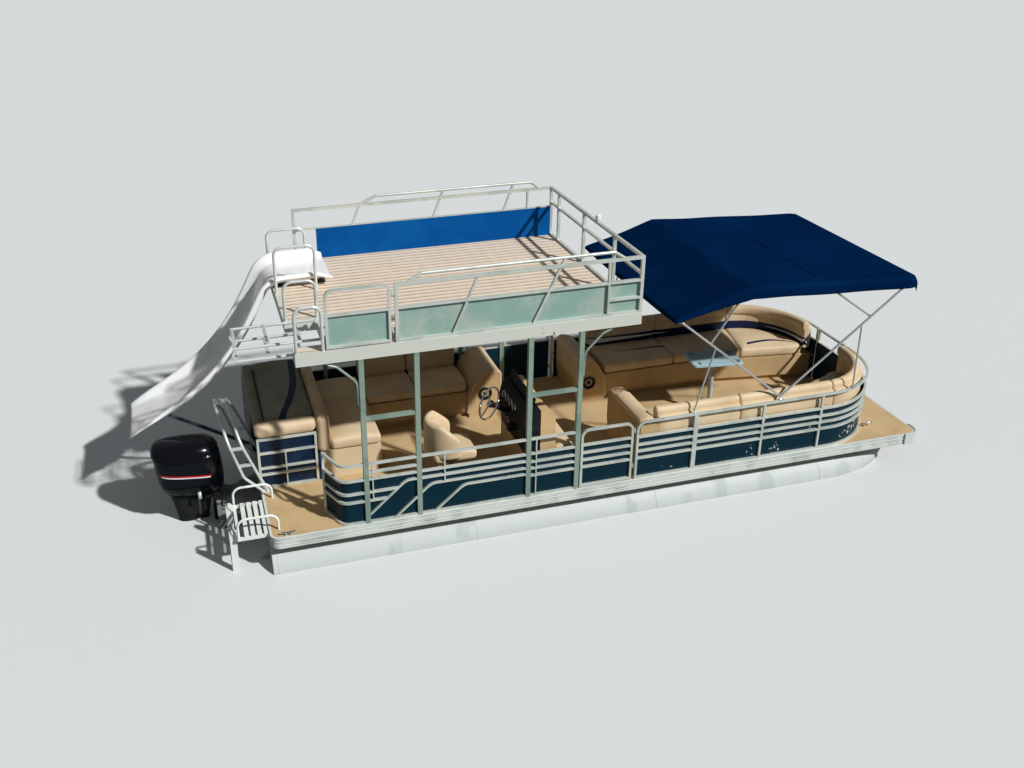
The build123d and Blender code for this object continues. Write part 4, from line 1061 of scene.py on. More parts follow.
@dataclass
class Floats:
    """The two round floats with their drawn-up noses, welds and keels.

    A row of nose is the x, the height and the radius of one of its circles. Everything is laid
    out on the starboard side and mirrored for the port side.
    """

    radius: float = 0.317
    spacing: float = 0.95
    axis: float = -0.507
    sides: int = 96
    edge: float = 0.004
    nose: tuple[Point, ...] = (
        (6.29, -0.507, 0.317), (6.47, -0.503, 0.312), (6.64, -0.492, 0.288), (6.83, -0.462, 0.246),
        (7.0, -0.42, 0.192), (7.16, -0.362, 0.118), (7.3, -0.30, 0.034),
    )
    seams: tuple[float, ...] = (0.06, 2.15, 4.22, 6.28)
    weld: Pair = (0.006, 0.0035)
    keel_ends: Pair = (0.4, 6.0)
    keel_drop: float = 0.012
    keel_half: Pair = (0.008, 0.026)

    def form(self) -> Form:
        """The barrel is a circle carried along x; the nose's circles shrink as their centre rises.

        Returns:
            The float on the starboard side with its welds, its keel and its stern plate.
        """
        barrel_x = np.concatenate(((0.0, self.edge), np.linspace(0.02, 6.26, 50)))
        height, radius = np.full_like(barrel_x, self.axis), np.full_like(barrel_x, self.radius)
        radius[0] -= self.edge
        barrel = np.column_stack((barrel_x, height, radius))
        line = np.vstack((barrel, smooth_line(np.array(self.nose), 40)))
        t = np.linspace(0, 2 * np.pi, self.sides, endpoint=False)
        across = -self.spacing + line[:, 2, None] * np.cos(t)
        up = line[:, 1, None] + line[:, 2, None] * np.sin(t)
        points = np.stack((line[:, 0, None] + 0 * t, across, up), axis=-1)
        body = grid_form(points[:, ::-1], close_round=True, caps=True)
        return merged([body] + [self.bead(x) for x in self.seams] + [self.keel(), self.plate()])

    def bead(self, x: float) -> Form:
        """A weld round the barrel: a small oval carried round a large circle.

        Args:
            x: where along the float the weld is.

        Returns:
            The closed ring of the weld.
        """
        half_width, height = self.weld
        t = np.linspace(0, 2 * np.pi, self.sides, endpoint=False)[:, None]
        s = np.linspace(0, 2 * np.pi, 8, endpoint=False)[None]
        big = self.radius + height * np.cos(s)
        along = x + half_width * np.sin(s) + 0 * t
        points = np.stack((along, -self.spacing + np.cos(t) * big, self.axis + np.sin(t) * big), axis=-1)
        return grid_form(points, close_along=True, close_round=True)

    def keel(self) -> Form:
        """The keel: a flat bar along the float's lowest line.

        Returns:
            A rectangle carried along x.
        """
        low = self.axis - self.radius - self.keel_drop
        aft, fore = ((x, -self.spacing, low) for x in self.keel_ends)
        path = np.linspace(aft, fore, 3)
        profile = np.array(((-1, -1), (1, -1), (1, 1), (-1, 1))) * self.keel_half
        return swept_form(path, profile, (0.0, 1.0, 0.0))

    def plate(self) -> Form:
        """The small three-cornered plate at the stern end.

        Returns:
            Its three corners in x and z, set at two values of y and joined round.
        """
        corners = np.array(((0.005, -0.33), (0.005, -0.47), (-0.12, -0.47)))
        sides = np.array((-0.954, -0.946))
        x, y = np.broadcast_arrays(corners[:, :1], sides)
        z = np.broadcast_to(corners[:, 1:], x.shape)
        wall = grid_form(np.stack((x, y, z), axis=-1), close_along=True)
        places = np.vstack((wall.places, np.zeros((6, 2))))
        return Form(wall.points, wall.faces + [[0, 2, 4], [5, 3, 1]], places)

    def build(self) -> None:
        """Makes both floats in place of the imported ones."""
        form = self.form()
        for side, made in (("starboard", form), ("port", form.mirrored())):
            piece = add_piece(f"{side}_float_shell", made, finish("float_paint"), smooth=35)
            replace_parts(piece, f"{side}_float")


@dataclass
class Slide:
    """The moulded slide: a smooth channel with rolled lips, low at both its ends.

    The route is the floor's line as x and z, and half is the channel's section from its middle
    to the outer edge of a lip. The section's height is scaled by (distance / foot_run)^0.7, with
    the distance from foot_end and no share below lowest, and at the entry by entry_height.
    """

    route: tuple[Pair, ...] = ((1.0, 2.03), (0.353, 2.018), (-0.19, 0.993), (-0.893, 0.594), (-1.29, 0.44))
    radii: tuple[float, ...] = (0.23, 2.6, 0.4)
    middle: float = 0.745
    half: tuple[Pair, ...] = (
        (0.0, 0.0), (0.2, 0.0), (0.29, 0.006), (0.325, 0.03), (0.35, 0.066), (0.368, 0.094),
        (0.39, 0.102), (0.408, 0.092), (0.413, 0.07),
    )
    foot_end: float = -1.31
    foot_run: float = 0.42
    lowest: float = 0.06
    entry_x: Pair = (0.85, 1.0)
    entry_height: Pair = (1.0, 0.35)
    wall: float = 0.012

    def build(self) -> None:
        """Carries the channel's profile down the route and gives it a moulded wall."""
        line = rounded_line(np.array(self.route), self.radii, 0.025)
        path = np.column_stack((line[:, 0], np.full(len(line), self.middle), line[:, 1]))
        right = smooth_line(np.array(self.half), 40)
        profile = np.vstack((right[::-1] * np.array((-1.0, 1.0)), right[1:]))
        foot = np.clip((line[:, 0] - self.foot_end) / self.foot_run, self.lowest, 1) ** 0.7
        entry = np.interp(line[:, 0], self.entry_x, self.entry_height)
        height = np.minimum(foot, entry)[:, None]
        section = np.stack((profile[:, 0] + 0 * height, profile[:, 1] * height), axis=-1)
        form = swept_form(path, section, (0.0, 1.0, 0.0), caps=False, closed=False)
        piece = add_piece("slide_channel", form, finish("slide_white"))
        thicken(piece, self.wall)
        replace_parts(piece, "slide")


@dataclass
class SunTop:
    """The canvas top, stretched over its four bows, with hems that hang at its four sides.

    The line is the bows' x and z, and hems is how far the side hems hang at each bow. An end
    hem is its reach, its drop and its rows. The sides draw in by the share waist between the
    bows, and by corner_in towards the front bow, from corner_start over corner_run.
    """

    line: tuple[Pair, ...] = ((4.29, 1.787), (5.15, 2.053), (6.013, 2.004), (7.165, 1.942))
    hems: tuple[float, ...] = (0.036, 0.132, 0.13, 0.128)
    aft_hem: tuple[float, float, int] = (-0.014, 0.05, 4)
    front_hem: tuple[float, float, int] = (0.03, 0.10, 6)
    half: float = 1.212
    roll: float = 0.045
    sag: float = 0.018
    waist: float = 0.012
    corner_in: float = 0.03
    corner_start: float = 7.06
    corner_run: float = 0.105
    bay_rows: int = 24
    wall: float = 0.003

    def form(self) -> Form:
        """Across, the sheet is flat and rolls down at each side; along, it sags between the bows.

        Returns:
            A grid whose height is the bows' line less sag * sin(pi t)^2 within each bay.
        """
        rows = np.array(self.line)
        bays = len(rows) - 1
        t = np.linspace(0, bays, self.bay_rows * bays + 1)
        knots = np.arange(len(rows))
        tracks = (rows[:, 0], rows[:, 1], self.hems)
        x, ridge, fall = (np.interp(t, knots, track)[:, None] for track in tracks)
        dip = (np.sin(np.pi * t) ** 2)[:, None]
        roll = np.minimum(self.roll, 0.6 * fall)
        angle = np.linspace(0, np.pi / 2, 7)[1:]
        share = np.linspace(0, 1, 6)[1:]
        level = np.linspace(0, 1, 26) * (self.half - roll)
        side_y = np.hstack((level, self.half - roll + roll * np.sin(angle), self.half + 0 * roll * share))
        side_z = np.hstack((0 * level, roll * (np.cos(angle) - 1), -roll - share * (fall - roll)))
        y = np.hstack((-side_y[:, ::-1], side_y[:, 1:]))
        z = np.hstack((side_z[:, ::-1], side_z[:, 1:]))
        flat = np.clip(1 - (np.abs(y) / self.half) ** 6, 0, 1)
        corner = np.clip((x - self.corner_start) / self.corner_run, 0, 1) ** 2
        narrow = self.waist * dip + self.corner_in / self.half * corner
        points = np.stack((x + 0 * y, y * (1 - narrow), z + ridge - self.sag * dip * flat), axis=-1)
        aft, front = self.hem(points[0], *self.aft_hem), self.hem(points[-1], *self.front_hem)
        return grid_form(np.concatenate((aft[::-1], points, front)))

    def hem(self, edge: np.ndarray, reach: float, drop: float, rows: int) -> np.ndarray:
        """An end hem: a quarter turn outwards by reach sin(s pi / 2) and down by drop s.

        Args:
            edge: the sheet's last row of points.
            reach: how far forward the hem goes.
            drop: how far down it hangs, less towards its two corners.
            rows: how many rows it has.

        Returns:
            The hem's rows from the edge on.
        """
        s = (np.arange(rows) + 1.0)[:, None] / rows
        out = edge[None].repeat(rows, axis=0)
        out[..., 0] += reach * np.sin(s * np.pi / 2)
        out[..., 2] -= drop * s * (1 - 0.4 * (np.abs(edge[:, 1]) / self.half) ** 6)
        return out

    def build(self) -> None:
        """Makes the canopy with its wall, in place of the imported one, on a mesh of its own."""
        piece = add_piece("sun_top_cover", self.form(), finish("canopy_fabric"))
        thicken(piece, self.wall)
        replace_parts(piece, "sun_top_canopy")
        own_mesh(piece)


@dataclass
class FenceLine:
    """The bow fence's plan line and lines set in from it, on the starboard side."""

    corners: tuple[Pair, ...] = ((3.91, -1.272), (7.13, -1.272), (7.13, 0.0))
    radius: float = 0.87
    count: int = 60

    def rail(self, amount: float, start: float, end: float) -> np.ndarray:
        """A stretch of the line set inboard by an amount: point = line + left normal * amount.

        Args:
            amount: how far inboard, in metres.
            start, end: the distances run along the fence itself.

        Returns:
            Points in space at height 0, shaped (count, 3).
        """
        base = rounded_line(np.array(self.corners), (self.radius,), 0.02)
        ahead = directions(base)
        line = base + np.column_stack((-ahead[:, 1], ahead[:, 0])) * amount
        run = lengths(base)
        s = np.linspace(start, end, self.count)
        x, y = (np.interp(s, run, line[:, axis]) for axis in (0, 1))
        return np.column_stack((x, y, np.zeros(self.count)))


@dataclass
class Cushion:
    """One padded cushion: its soft body, its finish, and how far its filling may swell."""

    name: str
    body: SoftBody
    look: str = "seat_vinyl"
    rides: str = "hull"
    cap: float = 0.012
    mirror: bool = False

    def build(self) -> bpy.types.Object:
        """Makes the cushion and fills it, held along its four long edges and at its ends.

        Returns:
            The padded piece.
        """
        form = self.body.form()
        if self.mirror:
            form = form.mirrored()
        share, normal = self.body.section.shares()
        edges = (np.abs(np.abs(normal[:, 0]) - np.abs(normal[:, 1])) < 0.5).astype(float)
        held = np.tile(edges, len(form.points) // len(share))
        ends = len(share) * 3
        held[:ends] = 1.0
        held[-ends:] = 1.0
        piece = add_piece(self.name, form, finish(self.look), self.rides, smooth=SOFT_EDGE)
        inflate(piece, held, self.cap)
        return piece


@dataclass(frozen=True)
class BoxCushion:
    """A straight cushion: where it lies forward, to port and up, its edges and its look."""

    name: str
    forward: Pair
    port: Pair
    height: Pair
    radius: float
    look: str = "seat_vinyl"
    node: str = ""

    def build(self) -> None:
        """Makes the cushion along its longer side, in place of its node where it has one."""
        (aft, fore), (starboard, port) = self.forward, self.port
        if fore - aft > port - starboard:
            near, far = (straight_rail((aft, y), (fore, y)) for y in self.port)
        else:
            near, far = (straight_rail((x, starboard), (x, port)) for x in self.forward)
        section = SoftSection(12, 4, 5)
        body = SoftBody(near, far, *self.height, self.radius, 0.014, self.radius, section=section)
        piece = Cushion(self.name, body, self.look).build()
        if self.node:
            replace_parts(piece, self.node)


@dataclass(frozen=True)
class ArmPad:
    """A thin pad folded over a couch's arm: a rounded strip carried along a bent line.

    The line's corners are x and z, and the strip lies between two values of y.
    """

    name: str
    corners: tuple[Pair, ...]
    sides: Pair
    radii: tuple[float, ...] = (0.045, 0.07, 0.2, 0.12)
    edge: float = 0.014
    half_height: float = 0.017

    def build(self) -> None:
        """Makes the pad and fills it, held along its two sides and at its ends."""
        near, far = self.sides
        line = rounded_line(np.array(self.corners), self.radii, 0.022)
        path = np.column_stack((line[:, 0], np.full(len(line), (near + far) / 2), line[:, 1]))
        share, normal = SoftSection(16, 1, 4).shares()
        half = np.array(((far - near) / 2, self.half_height))
        form = swept_form(path, share * (half - self.edge) + normal * self.edge, (0.0, 1.0, 0.0))
        held = np.tile((np.abs(share[:, 0]) > 0.99).astype(float), len(path))
        ends = len(share) * 2
        held[:ends] = 1.0
        held[-ends:] = 1.0
        piece = add_piece(self.name, form, finish("seat_vinyl"), smooth=SOFT_EDGE)
        inflate(piece, held, 0.008)


@dataclass(frozen=True)
class FencePadding:
    """A kind of padding that follows the bow fence above the seats, behind every seat cushion.

    inside and outside are how far its two faces stand in from the fence, and walls is the steps
    up its section's sides.
    """

    part: str
    inside: float
    outside: float
    low: float
    high: float
    radius: float
    walls: int
    cap: float


BOX_CUSHIONS = (
    # The sun pad's top and aft bolster take pad_greige, painted shade of the upper deck; the near bolster
    # keeps the lit beige
    BoxCushion(
        "sun_pad_main", (0.11, 0.636), (-0.195, 1.238), (0.601, 0.745), 0.05, "pad_greige",
        node="sun_pad_cushion",
    ),
    BoxCushion("sun_pad_near_bolster", (-0.012, 0.636), (-0.36, -0.2), (0.601, 0.745), 0.055, "pad_vinyl"),
    BoxCushion("sun_pad_aft_bolster", (-0.012, 0.105), (-0.195, 1.238), (0.601, 0.742), 0.05, "pad_greige"),
    BoxCushion(
        "stern_bench_back", (0.644, 0.779), (-0.36, 1.238), (0.334, 0.765), 0.055,
        node="bench_cushions",
    ),
    BoxCushion("stern_bench_seat", (0.784, 1.335), (-0.335, 1.145), (0.332, 0.455), 0.04),
    BoxCushion("aft_seat_a", (1.35, 1.95), (0.565, 1.095), (0.332, 0.455), 0.04, node="aft_couch_cushions"),
    BoxCushion("aft_seat_b", (1.956, 2.57), (0.565, 1.095), (0.332, 0.455), 0.04),
    BoxCushion("aft_back_a", (1.35, 1.95), (1.1, 1.234), (0.4, 0.765), 0.045),
    BoxCushion("aft_back_b", (1.956, 2.57), (1.1, 1.234), (0.4, 0.765), 0.045),
    BoxCushion("console_fore_seat", (3.02, 3.225), (-1.18, -0.38), (0.435, 0.50), 0.03),
)
ARM_PADS = (
    ArmPad(
        "port_arm_pad",
        ((3.976, 0.27), (3.976, 0.606), (4.125, 0.572), (4.228, 0.446), (4.308, 0.3), (4.326, 0.06)),
        (0.48, 1.236),
    ),
    ArmPad(
        "aft_arm_pad",
        ((2.972, 0.27), (2.972, 0.566), (2.79, 0.572), (2.67, 0.446), (2.59, 0.3), (2.572, 0.06)),
        (0.52, 1.236),
    ),
)
BACKREST = FencePadding("backrest", 0.165, 0.05, 0.40, 0.69, 0.03, 10, 0.012)
TOP_ROLL = FencePadding("top_roll", 0.19, 0.09, 0.64, 0.768, 0.05, 4, 0.006)


@dataclass
class Couches:
    """The two bow couches, the couches and pads at the stern, and the padded arms.

    A front edge of the bow seats is rows of the run along the fence, x and y, on the starboard
    side. The seams are where the cushions meet, as distances run along the fence.
    """

    seat: Pair = (0.332, 0.462)
    seat_gap: float = 0.004
    back_gap: float = 0.002
    starboard_seams: tuple[float, ...] = (0.25, 1.25, 2.42, 3.77)
    starboard_last: float = 3.7
    starboard_front: tuple[Point, ...] = (
        (0.25, 4.16, -0.59), (2.51, 6.42, -0.59), (3.3, 6.72, -0.47), (3.7, 6.79, -0.43),
    )
    port_seams: tuple[float, ...] = (0.41, 1.35, 2.38, 3.77)
    port_last: float = 3.77
    port_front: tuple[Point, ...] = (
        (0.41, 4.32, -0.53), (1.69, 5.6, -0.53), (2.9, 6.55, -0.39), (3.5, 6.8, -0.352), (3.77, 6.9, -0.35),
    )
    fence: FenceLine = field(default_factory=FenceLine)

    def build(self) -> None:
        """Makes every couch."""
        self.bow_couch("starboard", self.starboard_seams, self.starboard_last, np.array(self.starboard_front))
        self.bow_couch("port", self.port_seams, self.port_last, np.array(self.port_front))
        for cushion in BOX_CUSHIONS:
            cushion.build()
        self.arms()

    def bow_couch(self, side: str, seams: tuple[float, ...], last: float, front: np.ndarray) -> None:
        """One bow couch: a row of seat cushions, backrests and rolls along the fence.

        Args:
            side: starboard or port.
            seams: where the backrests meet, as the distance run along the fence.
            last: where the last seat ends.
            front: the seats' front edge.
        """
        mirror = side == "port"
        for k, (start, end) in enumerate(zip(seams[:-1], seams[1:])):
            body = self.bow_seat(start, min(end, last), front)
            look = "striped_seat" if mirror else "seat_vinyl"
            seat = Cushion(f"{side}_seat_{k}", body, look, mirror=mirror).build()
            if k == 0:
                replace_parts(seat, f"{side}_couch_cushions")
            for padding in (BACKREST, TOP_ROLL):
                look = "striped_backrest" if mirror and padding is BACKREST else "seat_vinyl"
                body = self.fence_body(padding, start, end)
                Cushion(f"{side}_{padding.part}_{k}", body, look, mirror=mirror, cap=padding.cap).build()

    def bow_seat(self, start: float, stop: float, front: np.ndarray) -> SoftBody:
        """One seat cushion between the backrests and the seats' front edge.

        Args:
            start, stop: where it starts and stops along the fence.
            front: the seats' front edge.

        Returns:
            Its body on the starboard side.
        """
        back = self.fence.rail(BACKREST.inside, start + self.seat_gap, stop - self.seat_gap)
        run = np.linspace(start + self.seat_gap, stop - self.seat_gap, len(back))
        x, y = (np.interp(run, front[:, 0], front[:, axis]) for axis in (1, 2))
        edge = np.column_stack((x, y, 0 * run))
        section = SoftSection(14, 4, 5)
        return SoftBody(back, edge, *self.seat, 0.04, 0.012, 0.03, start=start, section=section)

    def fence_body(self, padding: FencePadding, start: float, end: float) -> SoftBody:
        """A stretch of padding along the fence.

        Args:
            padding: its kind.
            start, end: where it starts and ends along the fence.

        Returns:
            Its body on the starboard side.
        """
        outer, inner = (
            self.fence.rail(amount, start + self.back_gap, end - self.back_gap)
            for amount in (padding.outside, padding.inside)
        )
        return SoftBody(
            outer, inner, padding.low, padding.high, padding.radius, 0.0, 0.022,
            start=start, section=SoftSection(4, padding.walls, 5),
        )

    def arms(self) -> None:
        """The padded arms beside the port gate with their speakers, and the starboard arm."""
        for pad in ARM_PADS:
            pad.build()
        speaker = (
            (0.085, -0.01), (0.085, 0.006), (0.08, 0.01), (0.072, 0.006), (0.03, -0.006), (0.028, 0.0),
            (0.015, 0.006), (0.002, 0.008),
        )
        for side, centre in (("port", (4.10, 0.478, 0.27)), ("aft", (2.78, 0.518, 0.30))):
            form = spun_form(speaker, centre, (0.0, -1.0, 0.0))
            add_piece(f"{side}_arm_speaker", form, finish("dash_black"))
        near, far = (straight_rail((x, -1.2), (x, -0.52), 30) for x in (3.965, 4.155))
        roll = SoftBody(near, far, 0.56, 0.665, 0.045, 0.012, 0.04, section=SoftSection(8, 3, 5))
        Cushion("starboard_arm_roll", roll, cap=0.008).build()
        cup = (
            (0.046, -0.03), (0.046, 0.006), (0.043, 0.008), (0.038, 0.004), (0.036, -0.026), (0.002, -0.027),
        )
        holder = spun_form(cup, (4.06, -0.45, 0.64), (0.0, 0.0, 1.0))
        add_piece("starboard_arm_cup", holder, finish("wheel_chrome"))


@dataclass
class Engine:
    """The outboard's cover, its latch and its propeller.

    A section of the cover is its height, fore end, aft end, half width and roundness. The
    blades stand at blade_x on a shaft at shaft_height, from root to tip.
    """

    sections: tuple[tuple[float, ...], ...] = (
        (-0.078, -0.376, -0.962, 0.142, 3.0), (-0.01, -0.364, -1.002, 0.197, 3.2),
        (0.066, -0.360, -1.024, 0.217, 3.4), (0.07, -0.366, -1.018, 0.211, 3.4),
        (0.08, -0.356, -1.034, 0.225, 3.4), (0.2, -0.362, -1.052, 0.228, 3.4),
        (0.32, -0.376, -1.066, 0.227, 3.3), (0.40, -0.392, -1.076, 0.216, 3.2),
        (0.405, -0.398, -1.07, 0.21, 3.1), (0.415, -0.39, -1.088, 0.219, 3.1),
        (0.455, -0.409, -1.088, 0.21, 3.0), (0.50, -0.44, -1.07, 0.18, 2.8),
        (0.522, -0.48, -1.04, 0.145, 2.6), (0.534, -0.54, -0.985, 0.09, 2.4),
        (0.536, -0.62, -0.92, 0.035, 2.2),
    )
    latch_line: tuple[Point, ...] = (
        (-0.635, -0.19, -0.02), (-0.635, -0.212, -0.045), (-0.635, -0.212, -0.085), (-0.635, -0.18, -0.108),
    )
    hub: tuple[Pair, ...] = (
        (0.0125, -0.991), (0.034, -0.991), (0.038, -0.95), (0.038, -0.915), (0.034, -0.909), (0.0125, -0.909),
    )
    shaft_height: float = -0.88
    blade_x: float = -0.953
    root: float = 0.03
    tip: float = 0.142
    steepest: float = 62.0
    untwist: float = 34.0

    def cowl(self) -> Form:
        """Super-ellipses stacked up: (|x|/a)^n + (|y|/b)^n = 1 at each height.

        Returns:
            The closed cover.
        """
        height, fore, aft, half, roundness = np.array(self.sections).T[..., None]
        t = np.linspace(0, 2 * np.pi, 72, endpoint=False)
        power = 2.0 / roundness
        c, s = np.cos(t), np.sin(t)
        x = (fore + aft) / 2 + (fore - aft) / 2 * np.sign(c) * np.abs(c) ** power
        y = half * np.sign(s) * np.abs(s) ** power
        return grid_form(np.stack((x, y, height + 0 * t), axis=-1), close_round=True, caps=True)

    def latch(self) -> Form:
        """A small upright latch on the lower cover's side: an oval bar that bends outwards."""
        line = smooth_line(np.array(self.latch_line), 14)
        return swept_form(line, ring_profile(0.018, 12, 0.35), (1.0, 0.0, 0.0))

    def blade(self, angle: float) -> Form:
        """A blade: its chord turns from steep at the hub to flatter at the tip.

        At a distance r from the shaft, with u the share of the blade's length and s from -1 to
        1 across it, the point lies at the angle + s chord cos(pitch) / r + 0.3 u^2 round the
        shaft and at s chord sin(pitch) - 0.012 u along it.

        Args:
            angle: where the blade stands round the shaft, in degrees.

        Returns:
            An open sheet.
        """
        r = np.linspace(self.root, self.tip, 16)[:, None]
        s = np.linspace(-1, 1, 15)[None]
        u = (r - self.root) / (self.tip - self.root)
        chord = 0.022 + 0.036 * np.sin(np.pi * np.clip(u * 0.85 + 0.1, 0, 1)) ** 0.8
        chord = chord * np.sqrt(np.clip(1.02 - u**6, 0.02, 1))
        pitch = np.radians(self.steepest - self.untwist * u)
        along = s * chord
        turn = np.radians(angle) + along * np.cos(pitch) / r + 0.3 * u**2
        x = self.blade_x + along * np.sin(pitch) - 0.012 * u
        return grid_form(np.stack((x, r * np.sin(turn), self.shaft_height + r * np.cos(turn)), axis=-1))

    def build(self) -> None:
        """Makes the cover, its latch and the propeller."""
        cowl = add_piece("engine_cover", self.cowl(), finish("cowl_black"), "engine_steer", smooth=50)
        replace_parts(cowl, "engine_cowl")
        add_piece("engine_latch", self.latch(), finish("rail_aluminium"), "engine_steer")
        blades = merged([self.blade(angle) for angle in (0, 120, 240)])
        thicken(add_piece("propeller_blades", blades, finish("engine_black"), "propeller"), 0.005)
        hub = spun_form(self.hub, (0.0, 0.0, self.shaft_height), (1.0, 0.0, 0.0))
        core = add_piece("propeller_hub", hub, finish("engine_black"), "propeller")
        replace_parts(core, "propeller")


@dataclass
class Helm:
    """The chair, and what is on the console: gauges, hood and throttle.

    The chair's back is padding between two ovals about its middle, each a half length and a
    half width. The gauges stand at several y. A ring, a face and the knob are the radius and
    height of the lines that are spun, and the lever is the line that its rod follows.
    """

    chair: Pair = (1.98, -0.77)
    back_outer: Pair = (0.275, 0.25)
    back_inner: Pair = (0.2, 0.175)
    back_low: float = 0.40
    wing_top: float = 0.62
    back_rise: float = 0.18
    gauges: tuple[float, ...] = (-0.50, -0.61, -0.72, -0.83)
    gauge_x: float = 2.6765
    gauge_height: float = 0.83
    gauge_axis: Point = (-0.982, 0.0, 0.189)
    ring: tuple[Pair, ...] = (
        (0.041, -0.01), (0.041, 0.006), (0.037, 0.011), (0.033, 0.006), (0.033, 0.003), (0.001, 0.003),
    )
    face: tuple[Pair, ...] = ((0.0325, 0.0), (0.0325, 0.0042), (0.0005, 0.0046))
    lever: tuple[Point, ...] = ((2.61, -0.88, 0.66), (2.6, -0.868, 0.72), (2.585, -0.868, 0.775))
    knob: tuple[Pair, ...] = ((0.004, -0.022), (0.016, -0.014), (0.018, 0.0), (0.013, 0.014), (0.003, 0.02))

    def build(self) -> None:
        """Makes the chair's bucket and the console's fittings."""
        self.bucket()
        self.dashboard()
        self.throttle()

    def oval(self, angle: np.ndarray, half: Pair) -> np.ndarray:
        """Points of an oval about the chair's middle, at height 0."""
        x, y = self.chair
        return np.column_stack((x + half[0] * np.cos(angle), y + half[1] * np.sin(angle), 0 * angle))

    def bucket(self) -> None:
        """The chair: a padded back bent round the seat, and the padded seat."""
        angle = np.radians(np.linspace(75, 285, 60))
        share = (angle - angle[0]) / (angle[-1] - angle[0])
        tall = self.wing_top + self.back_rise * np.clip(np.sin(share * np.pi) * 1.5, 0, 1)
        outer, inner = self.oval(angle, self.back_outer), self.oval(angle, self.back_inner)
        section = SoftSection(4, 10, 4)
        back = SoftBody(outer, inner, self.back_low, tall, 0.035, 0.0, 0.035, section=section)
        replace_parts(Cushion("helm_chair_back", back, rides="helm_chair").build(), "helm_chair")
        x, y = self.chair
        near, far = (straight_rail((edge, y - 0.2), (edge, y + 0.2), 30) for edge in (x - 0.22, x + 0.25))
        seat = SoftBody(near, far, 0.35, 0.475, 0.045, 0.012, 0.04)
        Cushion("helm_chair_seat", seat, rides="helm_chair").build()

    def dashboard(self) -> None:
        """Four ringed gauges, and the padded hood above them."""
        for part, line, look in (("rings", self.ring, "wheel_chrome"), ("faces", self.face, "dash_black")):
            centres = [(self.gauge_x, y, self.gauge_height) for y in self.gauges]
            spun = merged([spun_form(line, centre, self.gauge_axis, 40) for centre in centres])
            add_piece(f"gauge_{part}", spun, finish(look))
        line = np.linspace((2.735, -1.18, 0.955), (2.735, -0.38, 0.955), 24)
        hood = swept_form(line, ring_profile(0.03, 16), (1.0, 0.0, 0.0))
        add_piece("console_hood", hood, finish("black_rubber"))

    def throttle(self) -> None:
        """The throttle: a bent lever with a knob, on a box with rounded edges."""
        near, far = (straight_rail((2.565, y), (2.66, y), 12) for y in (-0.96, -0.885))
        box = SoftBody(near, far, 0.62, 0.70, 0.015, 0.0, 0.015).form()
        knob = spun_form(self.knob, (2.582, -0.868, 0.785), (-0.2, 0.0, 1.0), 20)
        add_piece("throttle_box", box + knob, finish("dash_black"))
        lever = tube_form(smooth_line(np.array(self.lever), 12), 0.008)
        add_piece("throttle_lever", lever, finish("wheel_chrome"))


@dataclass
class Fittings:
    """Small fittings: the rail's lamp, the table's cup wells and the cleats.

    The lamp and the well are the radius and height of the lines that are spun. The wells stand
    at plus and minus well_at from the table's middle, before the table's turn.
    """

    table: Point = (5.40, -0.15, 0.70)
    turned: float = math.radians(-8.8)
    well_at: Pair = (0.235, 0.13)
    well: tuple[Pair, ...] = ((0.05, -0.01), (0.05, 0.0025), (0.047, 0.004), (0.044, 0.0015), (0.001, 0.0012))
    lamp_at: Point = (3.836, -0.139, 2.584)
    lamp: tuple[Pair, ...] = (
        (0.012, -0.03), (0.012, 0.0), (0.03, 0.004), (0.032, 0.03), (0.028, 0.05), (0.012, 0.058),
        (0.001, 0.06),
    )
    cleats: tuple[Pair, ...] = ((0.18, -1.262), (7.0, -1.0))
    cleat_height: float = 0.036

    def build(self) -> None:
        """Makes the fittings."""
        lamp = spun_form(self.lamp, self.lamp_at, (0.0, 0.0, 1.0), 24)
        add_piece("rail_lamp", lamp, finish("lamp_lens"))
        signs = ((1, 1), (1, -1), (-1, 1), (-1, -1))
        add_piece("table_cup_wells", merged([self.cup_well(*sign) for sign in signs]), finish("dash_black"))
        cleats = merged([self.cleat(x, y) for x, y in self.cleats])
        add_piece("deck_cleats", cleats + cleats.mirrored(), finish("wheel_chrome"))

    def cup_well(self, forward: int, port: int) -> Form:
        """A dark well with a raised rim in one corner of the turned table.

        Args:
            forward, port: the corner, each 1 or -1.

        Returns:
            The well in its place.
        """
        x, y = forward * self.well_at[0], port * self.well_at[1]
        c, s = math.cos(self.turned), math.sin(self.turned)
        centre = (self.table[0] + c * x - s * y, self.table[1] + s * x + c * y, self.table[2])
        return spun_form(self.well, centre, (0.0, 0.0, 1.0))

    def cleat(self, x: float, y: float) -> Form:
        """A cleat: a bar with raised tips on two short feet.

        Args:
            x, y: where it stands on the deck's edge.

        Returns:
            The bar and its feet.
        """
        t = np.linspace(-1, 1, 15)
        top = self.cleat_height
        bar = np.column_stack((x + 0.07 * t, np.full(15, y), top + 0.008 * t**2))
        feet = [tube_form(np.array(((x + k, y, 0.0), (x + k, y, top))), 0.008) for k in (-0.025, 0.025)]
        return merged([swept_form(bar, ring_profile(0.009, 12), (0.0, 1.0, 0.0))] + feet)


